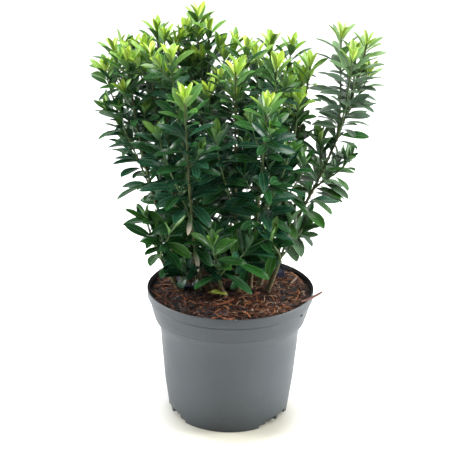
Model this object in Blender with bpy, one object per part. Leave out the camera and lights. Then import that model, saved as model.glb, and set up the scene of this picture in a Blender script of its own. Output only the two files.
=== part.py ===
"""A potted euonymus: a nursery pot filled with bark compost, woody boughs and leafy masses.

Metres, +Z up, +X to the right, -Y to the front. The origin is the centre of the pot's flat
underside. Every bough stands on the compost with a flat cut, tapers upwards and ends where it
enters its own mass of foliage. Each mass is one solid: a stem that carries on the bough's line,
side shoots that branch from it, and opposite pairs of leaves, all fused together.
"""

import math
import random

import bmesh
import bpy
from mathutils import Vector

# ---- pot ---------------------------------------------------------------------------------
POT_HEIGHT = 0.183
RIM_RADIUS = 0.115
BASE_RADIUS = 0.0839
WALL = 0.0017
LIP_THICKNESS = 0.0024
LIP_EDGE = 0.0006  # height of the small step inside the lip
FLOOR_THICKNESS = 0.0065
POT_SIDES = 40
SHARP_EDGE = math.radians(35)
CUTTER_FACET = math.radians(7.5)
CUTTER_MARGIN = 0.01  # how far a cutter reaches past the wall it opens
# (radius, height) down the outside, from the foot of the lip band to the underside
OUTSIDE = (
    (0.1147, 0.1715),
    (0.1129, 0.1702),
    (0.1090, 0.1560),
    (0.1066, 0.1482),
    (0.1047, 0.1406),
    (0.1000, 0.1330),
    (0.0965, 0.1250),
    (0.0949, 0.1014),
    (0.0909, 0.0543),
    (BASE_RADIUS, 0.0),
)
INSIDE_STATIONS = (0.0543, 0.1014, 0.1250, 0.1330, 0.1482, 0.1702, 0.1740)  # heights up the inside
FOOT_COUNT = 3
FOOT_MIDDLE = math.radians(-96.5)  # the front foot sits a little to the left
RAISED_SPAN = math.radians(45)  # the stretch between two feet that is clear of the ground
RAISED_HEIGHT = 0.0045
RAISED_DEPTH = 0.022
DRAIN_SPAN = math.radians(14)
DRAIN_RIB = math.radians(3)
DRAIN_TOP = 0.011
DRAIN_DEPTH = 0.005
CARRY_HOLE_ANGLES = (-30.0, 12.0, 150.0, 192.0)  # degrees round the collar, in two facing pairs
CARRY_HOLE_HEIGHT = 0.1650
CARRY_HOLE_SIZE = (0.0045, 0.0022)

# ---- compost -----------------------------------------------------------------------------
GAP = 0.0003  # clearance between solids that touch
SOIL_STATIONS = (0.0543, 0.1014, 0.1250, 0.1702, 0.1740)  # heights up the pot's inner wall
SOIL_TOP = 0.1785
SOIL_CROWN_RADIUS = 0.094

# ---- boughs and shoots -------------------------------------------------------------------
BOUGH_SIDES = 6
BOUGH_STEPS = 4
BOUGH_FOOT_RADIUS = 0.0042
BOUGH_TIP_RADIUS = 0.0027
BOUGH_SAMPLES = 24
FLARE = 1.5  # how much wider a bough is where it leaves the compost
FLARE_NECK = 1.04
FLARE_HEIGHT = 0.007
EARLY_REACH = 0.25  # share of its way outwards that a limb has made at a quarter of its height
LATE_REACH = 0.70  # and at three fifths of its height
SPREAD_REACH = 0.38  # what a full spread adds to both
TWIG_SIDES = 3
TWIG_STEPS = 4
STEM_RADII = (0.0025, 0.0011)
SHOOT_RADII = (0.0018, 0.0010)
SHOOT_LEAN = 1.2  # pull of a shoot's own way against the limb's where it leaves the limb
SHOOT_RISE = 0.9  # pull upwards where a shoot ends
SHOOT_START = 0.03  # least share of the limb between a mass's foot and its first shoot

# ---- leaves ------------------------------------------------------------------------------
LEAF_LENGTH = 0.047
LEAF_WIDTH = 0.0215
LEAF_THICKNESS = 0.0009
ROOT_OFFSET = 0.1  # how far a leaf's root lies from its twig's middle, per twig radius
TIP_LEAF_SCALE = 0.5
LEAF_SPACING = 0.0197
LEAF_FOLD = 0.16  # rise of the leaf's edges over its midrib, per width
BARE_START = 0.010  # leafless length at the foot of a stem or shoot
BARE_END = 0.002
AGEING_LENGTH = 0.10  # distance below a shoot's tip at which leaves are old
SHOOT_SAMPLES = 60
TIP_TILT = math.radians(32)
OLD_TILT = math.radians(74)
OLD_DROOP = 0.28
TURN_JITTER = 0.25
TILT_JITTER = 0.12
SHORTER_LEAVES = (1.0, 0.86, 0.72, 0.6)
LIMB_CLEARANCE = 0.0016
MASS_CLEARANCE = 0.0012
LEAF_CLEARANCE = 0.0058
SHOOT_CLEARANCE = 0.0050
RIM_CLEARANCE = 0.004

FIRST_SEED = 100  # each mass draws its leaves' turns from a seed of its own
UP = Vector((0, 0, 1))

# Each limb runs from its foot on the compost to the tip of its main shoot. spread says how
# early it swings outwards, and fork is the height where the bough ends and the foliage starts.
# Side shoots are (how far up the limb they leave it, their tip).
LIMBS = {
    "left_outer": dict(
        foot=(-0.062, 0.010), tip=(-0.136, -0.030, 0.504), spread=0.40, fork=0.250,
        shoots=((0.44, (-0.166, -0.020, 0.489)), (0.52, (-0.159, 0.022, 0.505))),
    ),
    "left_back": dict(
        foot=(-0.052, 0.046), tip=(-0.104, 0.052, 0.526), spread=0.45, fork=0.262,
        shoots=((0.40, (-0.135, 0.064, 0.443)), (0.50, (-0.120, 0.008, 0.513))),
    ),
    "left_inner": dict(
        foot=(-0.028, -0.004), tip=(-0.108, -0.022, 0.511), spread=0.60, fork=0.262,
        shoots=((0.52, (-0.088, -0.016, 0.484)),),
    ),
    "front_left": dict(
        foot=(-0.044, -0.006), tip=(-0.060, -0.100, 0.473), spread=0.20, fork=0.232,
        shoots=((0.42, (-0.094, -0.074, 0.418)), (0.55, (-0.080, -0.052, 0.513))),
    ),
    "top": dict(
        foot=(-0.024, 0.030), tip=(-0.051, 0.060, 0.547), spread=0.30, fork=0.270,
        shoots=((0.45, (-0.063, 0.088, 0.469)), (0.58, (-0.035, 0.036, 0.531)),
                (0.40, (-0.014, 0.024, 0.500))),
    ),
    "front_centre": dict(
        foot=(0.010, -0.006), tip=(0.001, -0.070, 0.501), spread=0.20, fork=0.240,
        shoots=((0.36, (-0.022, -0.086, 0.420)), (0.52, (0.015, -0.014, 0.520))),
    ),
    "front_right": dict(
        foot=(0.026, 0.006), tip=(0.041, -0.100, 0.468), spread=0.10, fork=0.236,
        shoots=((0.36, (0.072, -0.060, 0.394)), (0.58, (0.054, -0.034, 0.501))),
    ),
    "right_back": dict(
        foot=(0.026, 0.044), tip=(0.048, 0.040, 0.515), spread=0.35, fork=0.262,
        shoots=((0.46, (0.075, 0.056, 0.472)), (0.58, (0.074, 0.026, 0.513))),
    ),
    "right_side": dict(
        foot=(0.040, 0.014), tip=(0.098, -0.004, 0.497), spread=0.20, fork=0.244,
        shoots=((0.42, (0.094, -0.034, 0.372)), (0.50, (0.083, -0.026, 0.454))),
    ),
    "right_limb": dict(
        foot=(0.037, 0.033), tip=(0.170, 0.004, 0.525), spread=0.36, fork=0.276,
        shoots=((0.66, (0.137, 0.010, 0.533)), (0.68, (0.149, -0.030, 0.514)),
                (0.74, (0.177, 0.022, 0.482)), (0.52, (0.116, 0.012, 0.392))),
    ),
    "back_left": dict(
        foot=(-0.030, 0.064), tip=(-0.085, 0.112, 0.454), spread=0.50, fork=0.244,
        shoots=((0.40, (-0.122, 0.100, 0.399)), (0.46, (-0.041, 0.130, 0.429))),
    ),
    "back_right": dict(
        foot=(0.016, 0.068), tip=(0.039, 0.112, 0.463), spread=0.50, fork=0.244,
        shoots=((0.40, (0.092, 0.096, 0.412)), (0.46, (0.002, 0.132, 0.424))),
    ),
    "low_left": dict(
        foot=(-0.068, -0.008), tip=(-0.114, -0.030, 0.292), spread=0.30, fork=0.226,
        shoots=((0.50, (-0.080, -0.066, 0.286)),),
    ),
    "low_front": dict(
        foot=(-0.008, -0.028), tip=(-0.023, -0.076, 0.286), spread=0.40, fork=0.200,
        shoots=((0.40, (0.023, -0.070, 0.270)),),
    ),
    "low_right": dict(
        foot=(0.050, -0.008), tip=(0.079, -0.016, 0.288), spread=0.30, fork=0.222,
        shoots=((0.50, (0.053, -0.058, 0.277)),),
    ),
    "low_back": dict(
        foot=(-0.004, 0.084), tip=(0.000, 0.122, 0.290), spread=0.30, fork=0.212,
        shoots=((0.40, (0.059, 0.108, 0.263)), (0.40, (-0.065, 0.108, 0.261))),
    ),
}

# name: (colour, roughness)
FINISHES = {
    "pot": ((0.16, 0.18, 0.19, 1), 0.55),
    "soil": ((0.16, 0.06, 0.025, 1), 0.95),
    "stem": ((0.20, 0.17, 0.09, 1), 0.75),
    "foliage": ((0.05, 0.17, 0.05, 1), 0.42),
}


# ---- common helpers ----------------------------------------------------------------------
def clear_scene():
    for thing in list(bpy.data.objects):
        bpy.data.objects.remove(thing, do_unlink=True)


def make_materials():
    made = {}
    for name, (colour, roughness) in FINISHES.items():
        material = bpy.data.materials.new(name)
        material.use_nodes = True
        shader = material.node_tree.nodes["Principled BSDF"]
        shader.inputs["Base Color"].default_value = colour
        shader.inputs["Roughness"].default_value = roughness
        shader.inputs["Metallic"].default_value = 0.0
        made[name] = material
    return made


def add_object(name, points, faces, material=None):
    mesh = bpy.data.meshes.new(name)
    mesh.from_pydata(points, [], faces)
    mesh.update()
    thing = bpy.data.objects.new(name, mesh)
    bpy.context.scene.collection.objects.link(thing)
    if material:
        mesh.materials.append(material)
    return thing


def apply_modifier(thing, modifier):
    bpy.ops.object.select_all(action="DESELECT")
    bpy.context.view_layer.objects.active = thing
    thing.select_set(True)
    bpy.ops.object.modifier_apply(modifier=modifier.name)


def hide_cutter(thing):
    thing.hide_render = True
    thing.display_type = "WIRE"


# ---- pot and compost ---------------------------------------------------------------------
def turned(name, profile, material):
    """A closed round body. The profile runs up the inside, over the top and down the outside."""
    points = [(radius, 0.0, height) for radius, height in profile]
    thing = add_object(name, points, [], material)
    edges = bmesh.new()
    edges.from_mesh(thing.data)
    edges.verts.ensure_lookup_table()
    for first, second in zip(edges.verts[:-1], edges.verts[1:]):
        edges.edges.new((first, second))
    edges.to_mesh(thing.data)
    edges.free()
    screw = thing.modifiers.new("turn", "SCREW")
    screw.steps = POT_SIDES
    screw.render_steps = POT_SIDES
    screw.use_merge_vertices = True
    screw.merge_threshold = 0.00005
    screw.use_smooth_shade = True
    apply_modifier(thing, screw)
    thing.data.set_sharp_from_angle(angle=SHARP_EDGE)
    return thing


def ring_sector(name, inner, outer, low, high, start, span):
    """A wedge of a ring, used as a cutter."""
    steps = max(2, math.ceil(span / CUTTER_FACET))
    points = []
    for step in range(steps + 1):
        angle = start + span * step / steps
        for radius, height in ((inner, low), (outer, low), (outer, high), (inner, high)):
            points.append((radius * math.cos(angle), radius * math.sin(angle), height))
    faces = [(0, 1, 2, 3), tuple(4 * steps + corner for corner in (3, 2, 1, 0))]
    for step in range(steps):
        near, far = 4 * step, 4 * step + 4
        for corner in range(4):
            following = (corner + 1) % 4
            faces.append((near + corner, far + corner, far + following, near + following))
    cutter = add_object(name, points, faces)
    hide_cutter(cutter)
    return cutter


def cut(thing, cutter):
    boolean = thing.modifiers.new(cutter.name, "BOOLEAN")
    boolean.operation = "DIFFERENCE"
    boolean.object = cutter


def inner_radius(height):
    """Radius of the pot's inner wall at a height."""
    stations = ((RIM_RADIUS, POT_HEIGHT),) + OUTSIDE
    for (upper, top), (lower, bottom) in zip(stations[:-1], stations[1:]):
        if bottom <= height <= top:
            return lower + (upper - lower) * (height - bottom) / (top - bottom) - WALL
    return RIM_RADIUS - WALL


def make_pot(material):
    inside = [(0.0, FLOOR_THICKNESS)]
    inside += [(inner_radius(height), height) for height in (FLOOR_THICKNESS, *INSIDE_STATIONS)]
    lip = [
        (RIM_RADIUS - LIP_THICKNESS, POT_HEIGHT - LIP_EDGE),
        (RIM_RADIUS - WALL, POT_HEIGHT),
        (RIM_RADIUS, POT_HEIGHT),
    ]
    pot = turned("pot", inside + lip + list(OUTSIDE) + [(0.0, 0.0)], material)
    pitch = 2 * math.pi / FOOT_COUNT
    for foot in range(FOOT_COUNT):
        start = FOOT_MIDDLE + (foot + 0.5) * pitch - RAISED_SPAN / 2
        raised = ring_sector(
            f"raised_cutter_{foot}", BASE_RADIUS - RAISED_DEPTH, BASE_RADIUS + CUTTER_MARGIN,
            -CUTTER_MARGIN, RAISED_HEIGHT, start, RAISED_SPAN,
        )
        cut(pot, raised)
        margin = (RAISED_SPAN - 2 * DRAIN_SPAN - DRAIN_RIB) / 2
        for side in range(2):
            drain = ring_sector(
                f"drain_cutter_{foot}_{side}", BASE_RADIUS - DRAIN_DEPTH,
                BASE_RADIUS + 1.2 * CUTTER_MARGIN, -0.8 * CUTTER_MARGIN, DRAIN_TOP,
                start + margin + side * (DRAIN_SPAN + DRAIN_RIB), DRAIN_SPAN,
            )
            cut(pot, drain)
    width, height = CARRY_HOLE_SIZE
    for number, degrees in enumerate(CARRY_HOLE_ANGLES):
        span = width / RIM_RADIUS
        hole = ring_sector(
            f"carry_cutter_{number}", RIM_RADIUS - 2 * CUTTER_MARGIN, RIM_RADIUS + CUTTER_MARGIN,
            CARRY_HOLE_HEIGHT - height / 2, CARRY_HOLE_HEIGHT + height / 2,
            math.radians(degrees) - span / 2, span,
        )
        cut(pot, hole)
    return pot


def make_soil(material):
    """Compost that fills the pot, flat where the boughs stand and sloping down to the wall."""
    bottom = FLOOR_THICKNESS + GAP
    wall = [(inner_radius(height) - GAP, height) for height in (bottom, *SOIL_STATIONS)]
    top = [(SOIL_CROWN_RADIUS, SOIL_TOP), (0.0, SOIL_TOP)]
    profile = [(0.0, bottom)] + wall + top
    return turned("soil", list(reversed(profile)), material)


# ---- limbs -------------------------------------------------------------------------------
def bezier(controls, t):
    first, second, third, last = controls
    s = 1 - t
    return first * s**3 + second * (3 * s * s * t) + third * (3 * s * t * t) + last * t**3


def limb_controls(foot, tip, spread):
    start, end = Vector(foot), Vector(tip)
    across = Vector((end.x - start.x, end.y - start.y, 0))
    rise = end.z - start.z
    second = start + across * (EARLY_REACH + SPREAD_REACH * spread) + UP * (rise / 4)
    third = start + across * (LATE_REACH + SPREAD_REACH * spread) + UP * (rise * 3 / 5)
    return start, second, third, end


def shoot_controls(start, tangent, tip):
    end = Vector(tip)
    handle = (end - start).length / 3
    straight = (end - start).normalized()
    leaving = (tangent + straight * SHOOT_LEAN).normalized()
    arriving = (straight + UP * SHOOT_RISE).normalized()
    return start, start + leaving * handle, end - arriving * handle, end


def points_along(controls, start=0.0, count=40):
    return [bezier(controls, start + (1 - start) * n / count) for n in range(count + 1)]


def tangent_at(controls, t):
    step = 0.01
    return (bezier(controls, min(1, t + step)) - bezier(controls, max(0, t - step))).normalized()


def speed_at(controls, t):
    """Length of limb per unit of t."""
    step = 0.001
    return (bezier(controls, t + step) - bezier(controls, t)).length / step


def height_fraction(controls, height):
    """The share of the curve's run at which it reaches a height."""
    low, high = 0.0, 1.0
    for _ in range(40):
        middle = (low + high) / 2
        if bezier(controls, middle).z < height:
            low = middle
        else:
            high = middle
    return low


def frame_of(tangent):
    """Two directions square to a limb's line."""
    first = tangent.cross(Vector((0, 1, 0)))
    first.normalize()
    return first, tangent.cross(first).normalized()


def tube(name, stations, sides, turn, flat_foot, material=None):
    """A closed round limb through (point, tangent, radius) stations, with flat ends."""
    points = []
    for number, (centre, tangent, radius) in enumerate(stations):
        axis = UP if flat_foot and number == 0 else tangent
        first, second = frame_of(axis)
        for side in range(sides):
            angle = turn + 2 * math.pi * side / sides
            points.append(centre + (first * math.cos(angle) + second * math.sin(angle)) * radius)
    faces = []
    for ring in range(len(stations) - 1):
        for side in range(sides):
            following = (side + 1) % sides
            low, high = ring * sides, (ring + 1) * sides
            faces.append((low + side, low + following, high + following, high + side))
    faces.append(tuple(reversed(range(sides))))
    last = (len(stations) - 1) * sides
    faces.append(tuple(last + side for side in range(sides)))
    thing = add_object(name, points, faces, material)
    return thing


def stations_along(controls, start, end, radii, steps):
    made = []
    for step in range(steps + 1):
        share = step / steps
        t = start + (end - start) * share
        radius = radii[0] + (radii[1] - radii[0]) * share
        made.append((bezier(controls, t), tangent_at(controls, t), radius))
    return made


def make_bough(name, controls, fork, material):
    """The woody foot of a limb, flared at the flat cut and tapering to where its foliage starts."""
    radii = (BOUGH_FOOT_RADIUS, BOUGH_TIP_RADIUS)
    stations = stations_along(controls, 0.0, fork, radii, BOUGH_STEPS)
    foot, _, radius = stations[0]
    flare_end = height_fraction(controls, foot.z + FLARE_HEIGHT)
    neck = (bezier(controls, flare_end), tangent_at(controls, flare_end), radius * FLARE_NECK)
    stations[0] = (foot, UP, radius * FLARE)
    stations.insert(1, neck)
    return tube("stem_" + name, stations, BOUGH_SIDES, 0.0, True, material)


# ---- leaves ------------------------------------------------------------------------------
def leaf_corners(root, along, upper, length, width):
    """Thick root, tip, two raised edges and the midrib of a leaf that folds up along its middle."""
    side = along.cross(upper).normalized()
    middle = root + along * (length * 0.5)
    edge = upper * (width * LEAF_FOLD)
    half_thickness = upper * (LEAF_THICKNESS / 2)
    return (
        root + half_thickness,
        root - half_thickness,
        root + along * length,
        middle + side * (width / 2) + edge,
        middle - side * (width / 2) + edge,
        middle + half_thickness,
    )


LEAF_FACES = (
    (0, 3, 5), (0, 5, 4), (2, 5, 3), (2, 4, 5),
    (1, 2, 3), (1, 4, 2), (0, 1, 3), (0, 4, 1),
)


def leaf_pairs(curve, rule):
    """Opposite leaves up a shoot, each pair square to the one below, as (root, way, upper, size)."""
    controls, start, radii = curve
    samples = points_along(controls, start, SHOOT_SAMPLES)
    lengths = [0.0]
    for near, far in zip(samples[:-1], samples[1:]):
        lengths.append(lengths[-1] + (far - near).length)
    leafy = lengths[-1] - BARE_START - BARE_END
    count = max(1, round((lengths[-1] - BARE_START) / LEAF_SPACING))
    turn = rule.uniform(0, math.pi)
    for number in range(count + 1):
        distance = BARE_START + leafy * number / count
        place = next(n for n, length in enumerate(lengths) if length >= distance)
        share = place / SHOOT_SAMPLES
        t = start + (1 - start) * share
        tangent = tangent_at(controls, t)
        radius = radii[0] + (radii[1] - radii[0]) * share
        age = min(1.0, (lengths[-1] - distance) / AGEING_LENGTH)
        tilt = TIP_TILT + (OLD_TILT - TIP_TILT) * age**0.7 + rule.uniform(-TILT_JITTER, TILT_JITTER)
        grown = min(1, 1.6 * age)
        size = (TIP_LEAF_SCALE + (1 - TIP_LEAF_SCALE) * grown) * rule.uniform(0.9, 1.08)
        first, second = frame_of(tangent)
        angle = turn + number * math.pi / 2 + rule.uniform(-TURN_JITTER, TURN_JITTER)
        for half in (0, math.pi):
            out = first * math.cos(angle + half) + second * math.sin(angle + half)
            along = tangent * math.cos(tilt) + out * math.sin(tilt) - UP * (OLD_DROOP * age)
            along.normalize()
            upper = (tangent - along * tangent.dot(along)).normalized()
            root = bezier(controls, t) + out * (radius * ROOT_OFFSET)
            yield root, along, upper, size


def nearest(point, places):
    return min((point - place).length_squared for place in places) ** 0.5


def blade_points(corners):
    """Points over a leaf's blade that stand for it when its clearances are tested."""
    root, _, tip, left, right, middle = corners
    outline = [tip, left, right, middle, tip.lerp(left, 0.5), tip.lerp(right, 0.5)]
    return outline + [root.lerp(left, 0.6), root.lerp(right, 0.6), tip.lerp(middle, 0.5)]


def fits(blade, own, siblings, others, boughs, placed):
    """Whether a leaf stays in its mass's own space, clear of leaves, shoots, limbs, pot and compost."""
    if placed and min(nearest(point, placed) for point in blade) < LEAF_CLEARANCE:
        return False
    if siblings and min(nearest(point, siblings) for point in blade) < SHOOT_CLEARANCE:
        return False
    for point in blade:
        if point.z < POT_HEIGHT + LIMB_CLEARANCE and point.xy.length < RIM_RADIUS + RIM_CLEARANCE:
            return False
        if nearest(point, own) + MASS_CLEARANCE > nearest(point, others):
            return False
        for place, radius in boughs:
            if (point - place).length < radius + LIMB_CLEARANCE:
                return False
    return True


def keep_largest_piece(mesh):
    """Drops loose scraps and fills sealed hollows, which are separate shells of the mesh."""
    shape = bmesh.new()
    shape.from_mesh(mesh)
    unseen = set(shape.verts)
    shells = []
    while unseen:
        group, queue = set(), [unseen.pop()]
        while queue:
            vertex = queue.pop()
            group.add(vertex)
            for edge in vertex.link_edges:
                other = edge.other_vert(vertex)
                if other in unseen:
                    unseen.discard(other)
                    queue.append(other)
        shells.append(group)
    shells.sort(key=len)
    for group in shells[:-1]:
        bmesh.ops.delete(shape, geom=list(group), context="VERTS")
    shape.to_mesh(mesh)
    shape.free()


def make_mass(name, curves, own, others, boughs, rule, material):
    """A stem with its side shoots and leaves, fused into one solid."""
    pieces = bpy.data.collections.new("pieces_" + name)
    bpy.context.scene.collection.children.link(pieces)

    def add_piece(piece):
        bpy.context.scene.collection.objects.unlink(piece)
        pieces.objects.link(piece)

    stem = None
    for number, (controls, start, radii) in enumerate(curves):
        stations = stations_along(controls, start, 1.0, radii, TWIG_STEPS)
        label = "foliage_" + name if number == 0 else f"shoot_{name}_{number}"
        shoot = tube(label, stations, TWIG_SIDES, rule.uniform(0, 2), False, material)
        if number == 0:
            stem = shoot
        else:
            add_piece(shoot)
    placed = []
    for curve in curves:
        siblings = [p for other in curves if other is not curve for p in points_along(*other[:2])]
        for root, along, upper, size in leaf_pairs(curve, rule):
            for shorter in SHORTER_LEAVES:
                length = LEAF_LENGTH * size * shorter
                width = LEAF_WIDTH * size * shorter**0.5
                corners = leaf_corners(root, along, upper, length, width)
                blade = blade_points(corners)
                if fits(blade, own, siblings, others, boughs, placed):
                    add_piece(add_object(f"leaf_{name}", corners, LEAF_FACES))
                    placed += blade
                    break
    union = stem.modifiers.new("union", "BOOLEAN")
    union.operation = "UNION"
    union.operand_type = "COLLECTION"
    union.collection = pieces
    union.solver = "EXACT"
    apply_modifier(stem, union)
    for piece in list(pieces.objects):
        bpy.data.objects.remove(piece, do_unlink=True)
    bpy.data.collections.remove(pieces)
    keep_largest_piece(stem.data)
    stem.data.materials.clear()
    stem.data.materials.append(material)


def make_plant(materials):
    foot_height = SOIL_TOP + GAP
    plans = {}
    for name, limb in LIMBS.items():
        foot = (*limb["foot"], foot_height)
        controls = limb_controls(foot, limb["tip"], limb["spread"])
        fork = height_fraction(controls, limb["fork"])
        clear = fork + GAP / speed_at(controls, fork)
        curves = [(controls, clear, STEM_RADII)]
        for share, tip in limb["shoots"]:
            start = bezier(controls, max(share, clear + SHOOT_START))
            tangent = tangent_at(controls, share)
            curves.append((shoot_controls(start, tangent, tip), 0.0, SHOOT_RADII))
        plans[name] = (controls, fork, curves)
    boughs = []
    spaces = {}
    for name, (controls, fork, curves) in plans.items():
        for n in range(BOUGH_SAMPLES + 1):
            share = n / BOUGH_SAMPLES
            radius = BOUGH_FOOT_RADIUS + (BOUGH_TIP_RADIUS - BOUGH_FOOT_RADIUS) * share
            if n == 0:
                radius *= FLARE
            boughs.append((bezier(controls, fork * share), radius))
        spaces[name] = [point for curve, start, _ in curves for point in points_along(curve, start)]
    for number, (name, (controls, fork, curves)) in enumerate(plans.items()):
        make_bough(name, controls, fork, materials["stem"])
        others = [p for other, space in spaces.items() if other != name for p in space]
        rule = random.Random(FIRST_SEED + number)
        make_mass(name, curves, spaces[name], others, boughs, rule, materials["foliage"])


def main():
    clear_scene()
    materials = make_materials()
    make_pot(materials["pot"])
    make_soil(materials["soil"])
    make_plant(materials)


main()
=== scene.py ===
"""The looks of a potted euonymus: a moulded nursery pot, loose bark compost and a leafy crown.

Metres, +Z up, +X to the right, -Y to the front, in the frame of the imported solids. The pot is
turned and cut as one wall. The compost is a lumpy bed under thousands of shreds, chips and
crumbs. Each limb of the shrub is drawn again from the solids' own plan: a woody bough, a green
stem that carries on its line, side shoots, and then finer twigs in the axils. Opposite pairs of
leaves sit along all of them, small, upright and lime at the tips, long, arching and dark below.
"""

import math
import random

import bmesh
import bpy
import numpy as np
from mathutils import Matrix, Vector, noise


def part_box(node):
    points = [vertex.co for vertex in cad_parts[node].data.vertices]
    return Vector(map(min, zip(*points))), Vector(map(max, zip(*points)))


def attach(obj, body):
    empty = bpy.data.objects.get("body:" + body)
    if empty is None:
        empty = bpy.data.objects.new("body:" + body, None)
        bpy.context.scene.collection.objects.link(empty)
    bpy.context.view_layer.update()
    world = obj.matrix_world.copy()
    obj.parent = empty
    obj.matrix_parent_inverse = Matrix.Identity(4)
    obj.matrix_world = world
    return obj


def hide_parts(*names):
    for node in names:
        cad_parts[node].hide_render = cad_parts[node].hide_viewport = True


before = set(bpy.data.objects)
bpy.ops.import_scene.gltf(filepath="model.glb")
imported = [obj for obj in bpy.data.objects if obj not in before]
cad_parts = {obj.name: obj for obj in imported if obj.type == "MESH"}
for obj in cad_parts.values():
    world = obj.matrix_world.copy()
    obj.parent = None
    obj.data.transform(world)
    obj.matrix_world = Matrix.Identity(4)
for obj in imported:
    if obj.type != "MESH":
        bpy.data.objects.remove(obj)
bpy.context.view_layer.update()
NODES = sorted(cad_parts)
UP = Vector((0, 0, 1))
SEEDS = {"litter": 7, "oddments": 3, "shrub": 42, "limbs": 11, "tints": 5}

# ---- pot ---------------------------------------------------------------------------------
RIM_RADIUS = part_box("pot")[1].x
POT_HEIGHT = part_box("pot")[1].z
SOIL_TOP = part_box("soil")[1].z
POT_SIDES = 180
# (radius, height) up the outside, in shares of the rim's radius and the pot's height
OUTSIDE = (
    (0.722, 0.000), (0.729, 0.004), (0.731, 0.014), (0.762, 0.160), (0.791, 0.297),
    (0.809, 0.430), (0.826, 0.554), (0.833, 0.630), (0.841, 0.683), (0.854, 0.705),
    (0.872, 0.728), (0.893, 0.748), (0.908, 0.766), (0.917, 0.788), (0.921, 0.796),
    (0.919, 0.801), (0.921, 0.806), (0.930, 0.810), (0.934, 0.817), (0.940, 0.836),
    (0.959, 0.880), (0.974, 0.914), (0.971, 0.918), (0.973, 0.925), (0.988, 0.931),
    (0.997, 0.940), (0.998, 0.948), (0.999, 0.975), (1.000, 0.990), (0.998, 0.997),
    (0.995, 1.000),
)
# the lip's groove and inner ridge, and then down the inside, in the same shares
INSIDE = (
    (0.990, 0.999), (0.987, 0.992), (0.985, 0.980), (0.980, 0.979), (0.978, 0.989),
    (0.975, 0.993), (0.971, 0.991), (0.969, 0.986), (0.969, 0.935), (0.956, 0.915),
    (0.928, 0.860), (0.918, 0.815), (0.902, 0.790), (0.868, 0.745), (0.830, 0.690),
    (0.820, 0.640), (0.776, 0.297), (0.722, 0.045), (0.710, 0.0356),
)
BASE_RADIUS = RIM_RADIUS * OUTSIDE[2][0]
FOOT_COUNT = 3
FOOT_MIDDLE = math.radians(-96.5)
RAISED_SPAN = math.radians(45)
RAISED_DEPTH = 0.040
RAISED_HEIGHT = 0.0045
RAISED_ROUNDING = 0.0015
DRAIN_SPAN = math.radians(14)
DRAIN_RIB = math.radians(3)
DRAIN_TOP = 0.011
DRAIN_DEPTH = 0.0045
DRAIN_ROUNDING = 0.0012
CUTTER_BOTTOM = -0.02  # well below the pot, so that the cuts run out through its underside
CARRY_HOLE_ANGLES = (-30.0, 12.0, 150.0, 192.0)
CARRY_HOLE_HEIGHT = 0.1650
CARRY_HOLE_RADIUS = 0.965 * RIM_RADIUS
CARRY_HOLE_SIZE = (0.014, 0.0064, 0.0034)  # through the wall, across and up
CARRY_HOLE_ROUNDING = 0.0010
SOFT_EDGE = 0.0003
COLLAR_SHADE = 0.84  # painted shade: the collar is this share as light as the body below it
# the heights where the painted shade on the collar begins and where it is full
COLLAR_SHADE_HEIGHTS = (0.145, 0.152)
# within this radius and above this height a face that doesn't look outwards is lining
LINING_RADIUS = 0.990 * RIM_RADIUS
LINING_HEIGHT = 0.03
LOOKS_OUT = 0.2
# the light, dark and dusty tones of the plastic and of its near black lining
PLASTIC_TONES = ((0.0488, 0.0577, 0.0635), (0.0385, 0.0461, 0.0525), (0.0925, 0.101, 0.1015))
LINING_TONES = ((0.014, 0.016, 0.022), (0.008, 0.010, 0.015), (0.035, 0.032, 0.030))

# ---- limbs -------------------------------------------------------------------------------
BOUGH_RADII = (0.0042, 0.0027)
STEM_RADII = (0.0022, 0.0010)
SHOOT_RADII = (0.0015, 0.0008)
TWIG_RADII = (0.0009, 0.0005)
AXIS_STEPS = 80  # a limb's length is measured along this many chords
FLARE = 1.5
FLARE_HEIGHT = 0.0035
BOUGH_STEPS = 44
SCAR_COUNT = 5
SCAR_SPANS = (0.1, 0.95)
SCAR_SWELL = 0.14
SCAR_LENGTH = 0.022
SUNK = 0.009  # how far a bough's foot reaches below the compost's top
EARLY_REACH = 0.25
LATE_REACH = 0.70
SPREAD_REACH = 0.38
SHOOT_LEAN = 1.2
SHOOT_RISE = 0.9
SHOOT_START = 0.03  # the first shoot leaves at least this share of the limb above the fork
NODE_SWELL = 0.30
NODE_SWELL_LENGTH = 0.0016
STEM_STEP, SHOOT_STEP, TWIG_STEP = 0.0016, 0.0020, 0.0030

# ---- leaves ------------------------------------------------------------------------------
LEAF_LENGTH = 0.0465
LEAF_WIDTH = 0.0134
LEAF_THICKNESS = 0.0004
INTERNODE = 0.0135
AGEING_LENGTH = 0.10
# from a shoot's tip downwards, pair by pair
PAIR_GAPS = (0.0, 0.0025, 0.0035, 0.0050, 0.0070, 0.0090, 0.0110, 0.0130)
PAIR_SIZES = (0.50, 0.66, 0.78, 0.86, 0.92, 0.96, 1.0)
PAIR_TILTS = (12, 25, 34, 41, 46, 50, 53, 56, 59, 62)
OLD_TILT = 64
OLD_DROOP = 0.14
# leaves droop fully below the first height and a third as much above the second
DROOP_HEIGHTS = (0.26, 0.42)
DROOP_SHARES = (1.0, 0.33)
BUD = 0.003  # how far a shoot runs on above its last pair
FIRST_GAPS = (0.3, 0.7)  # on a bough, from its top to the first pair, in internodes
GAP_SPREAD = (0.88, 1.14)
TWIG_GAP = 0.85  # a twig's pairs sit this much closer
# leaves stray about their rule by these: degrees of tilt, and shares of the other measures
TILT_STRAY = 5
DROOP_SPREAD = (0.4, 1.5)
SIZE_SPREAD = (0.86, 1.10)
WIDTH_SPREAD = (0.88, 1.10)
# how far blades arch, in radians from root to tip, and how much more the old ones may
ARCHES = (0.10, 0.50)
BUD_ARCHES = (0.0, 0.45)
OLD_ARCH = 0.30
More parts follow.
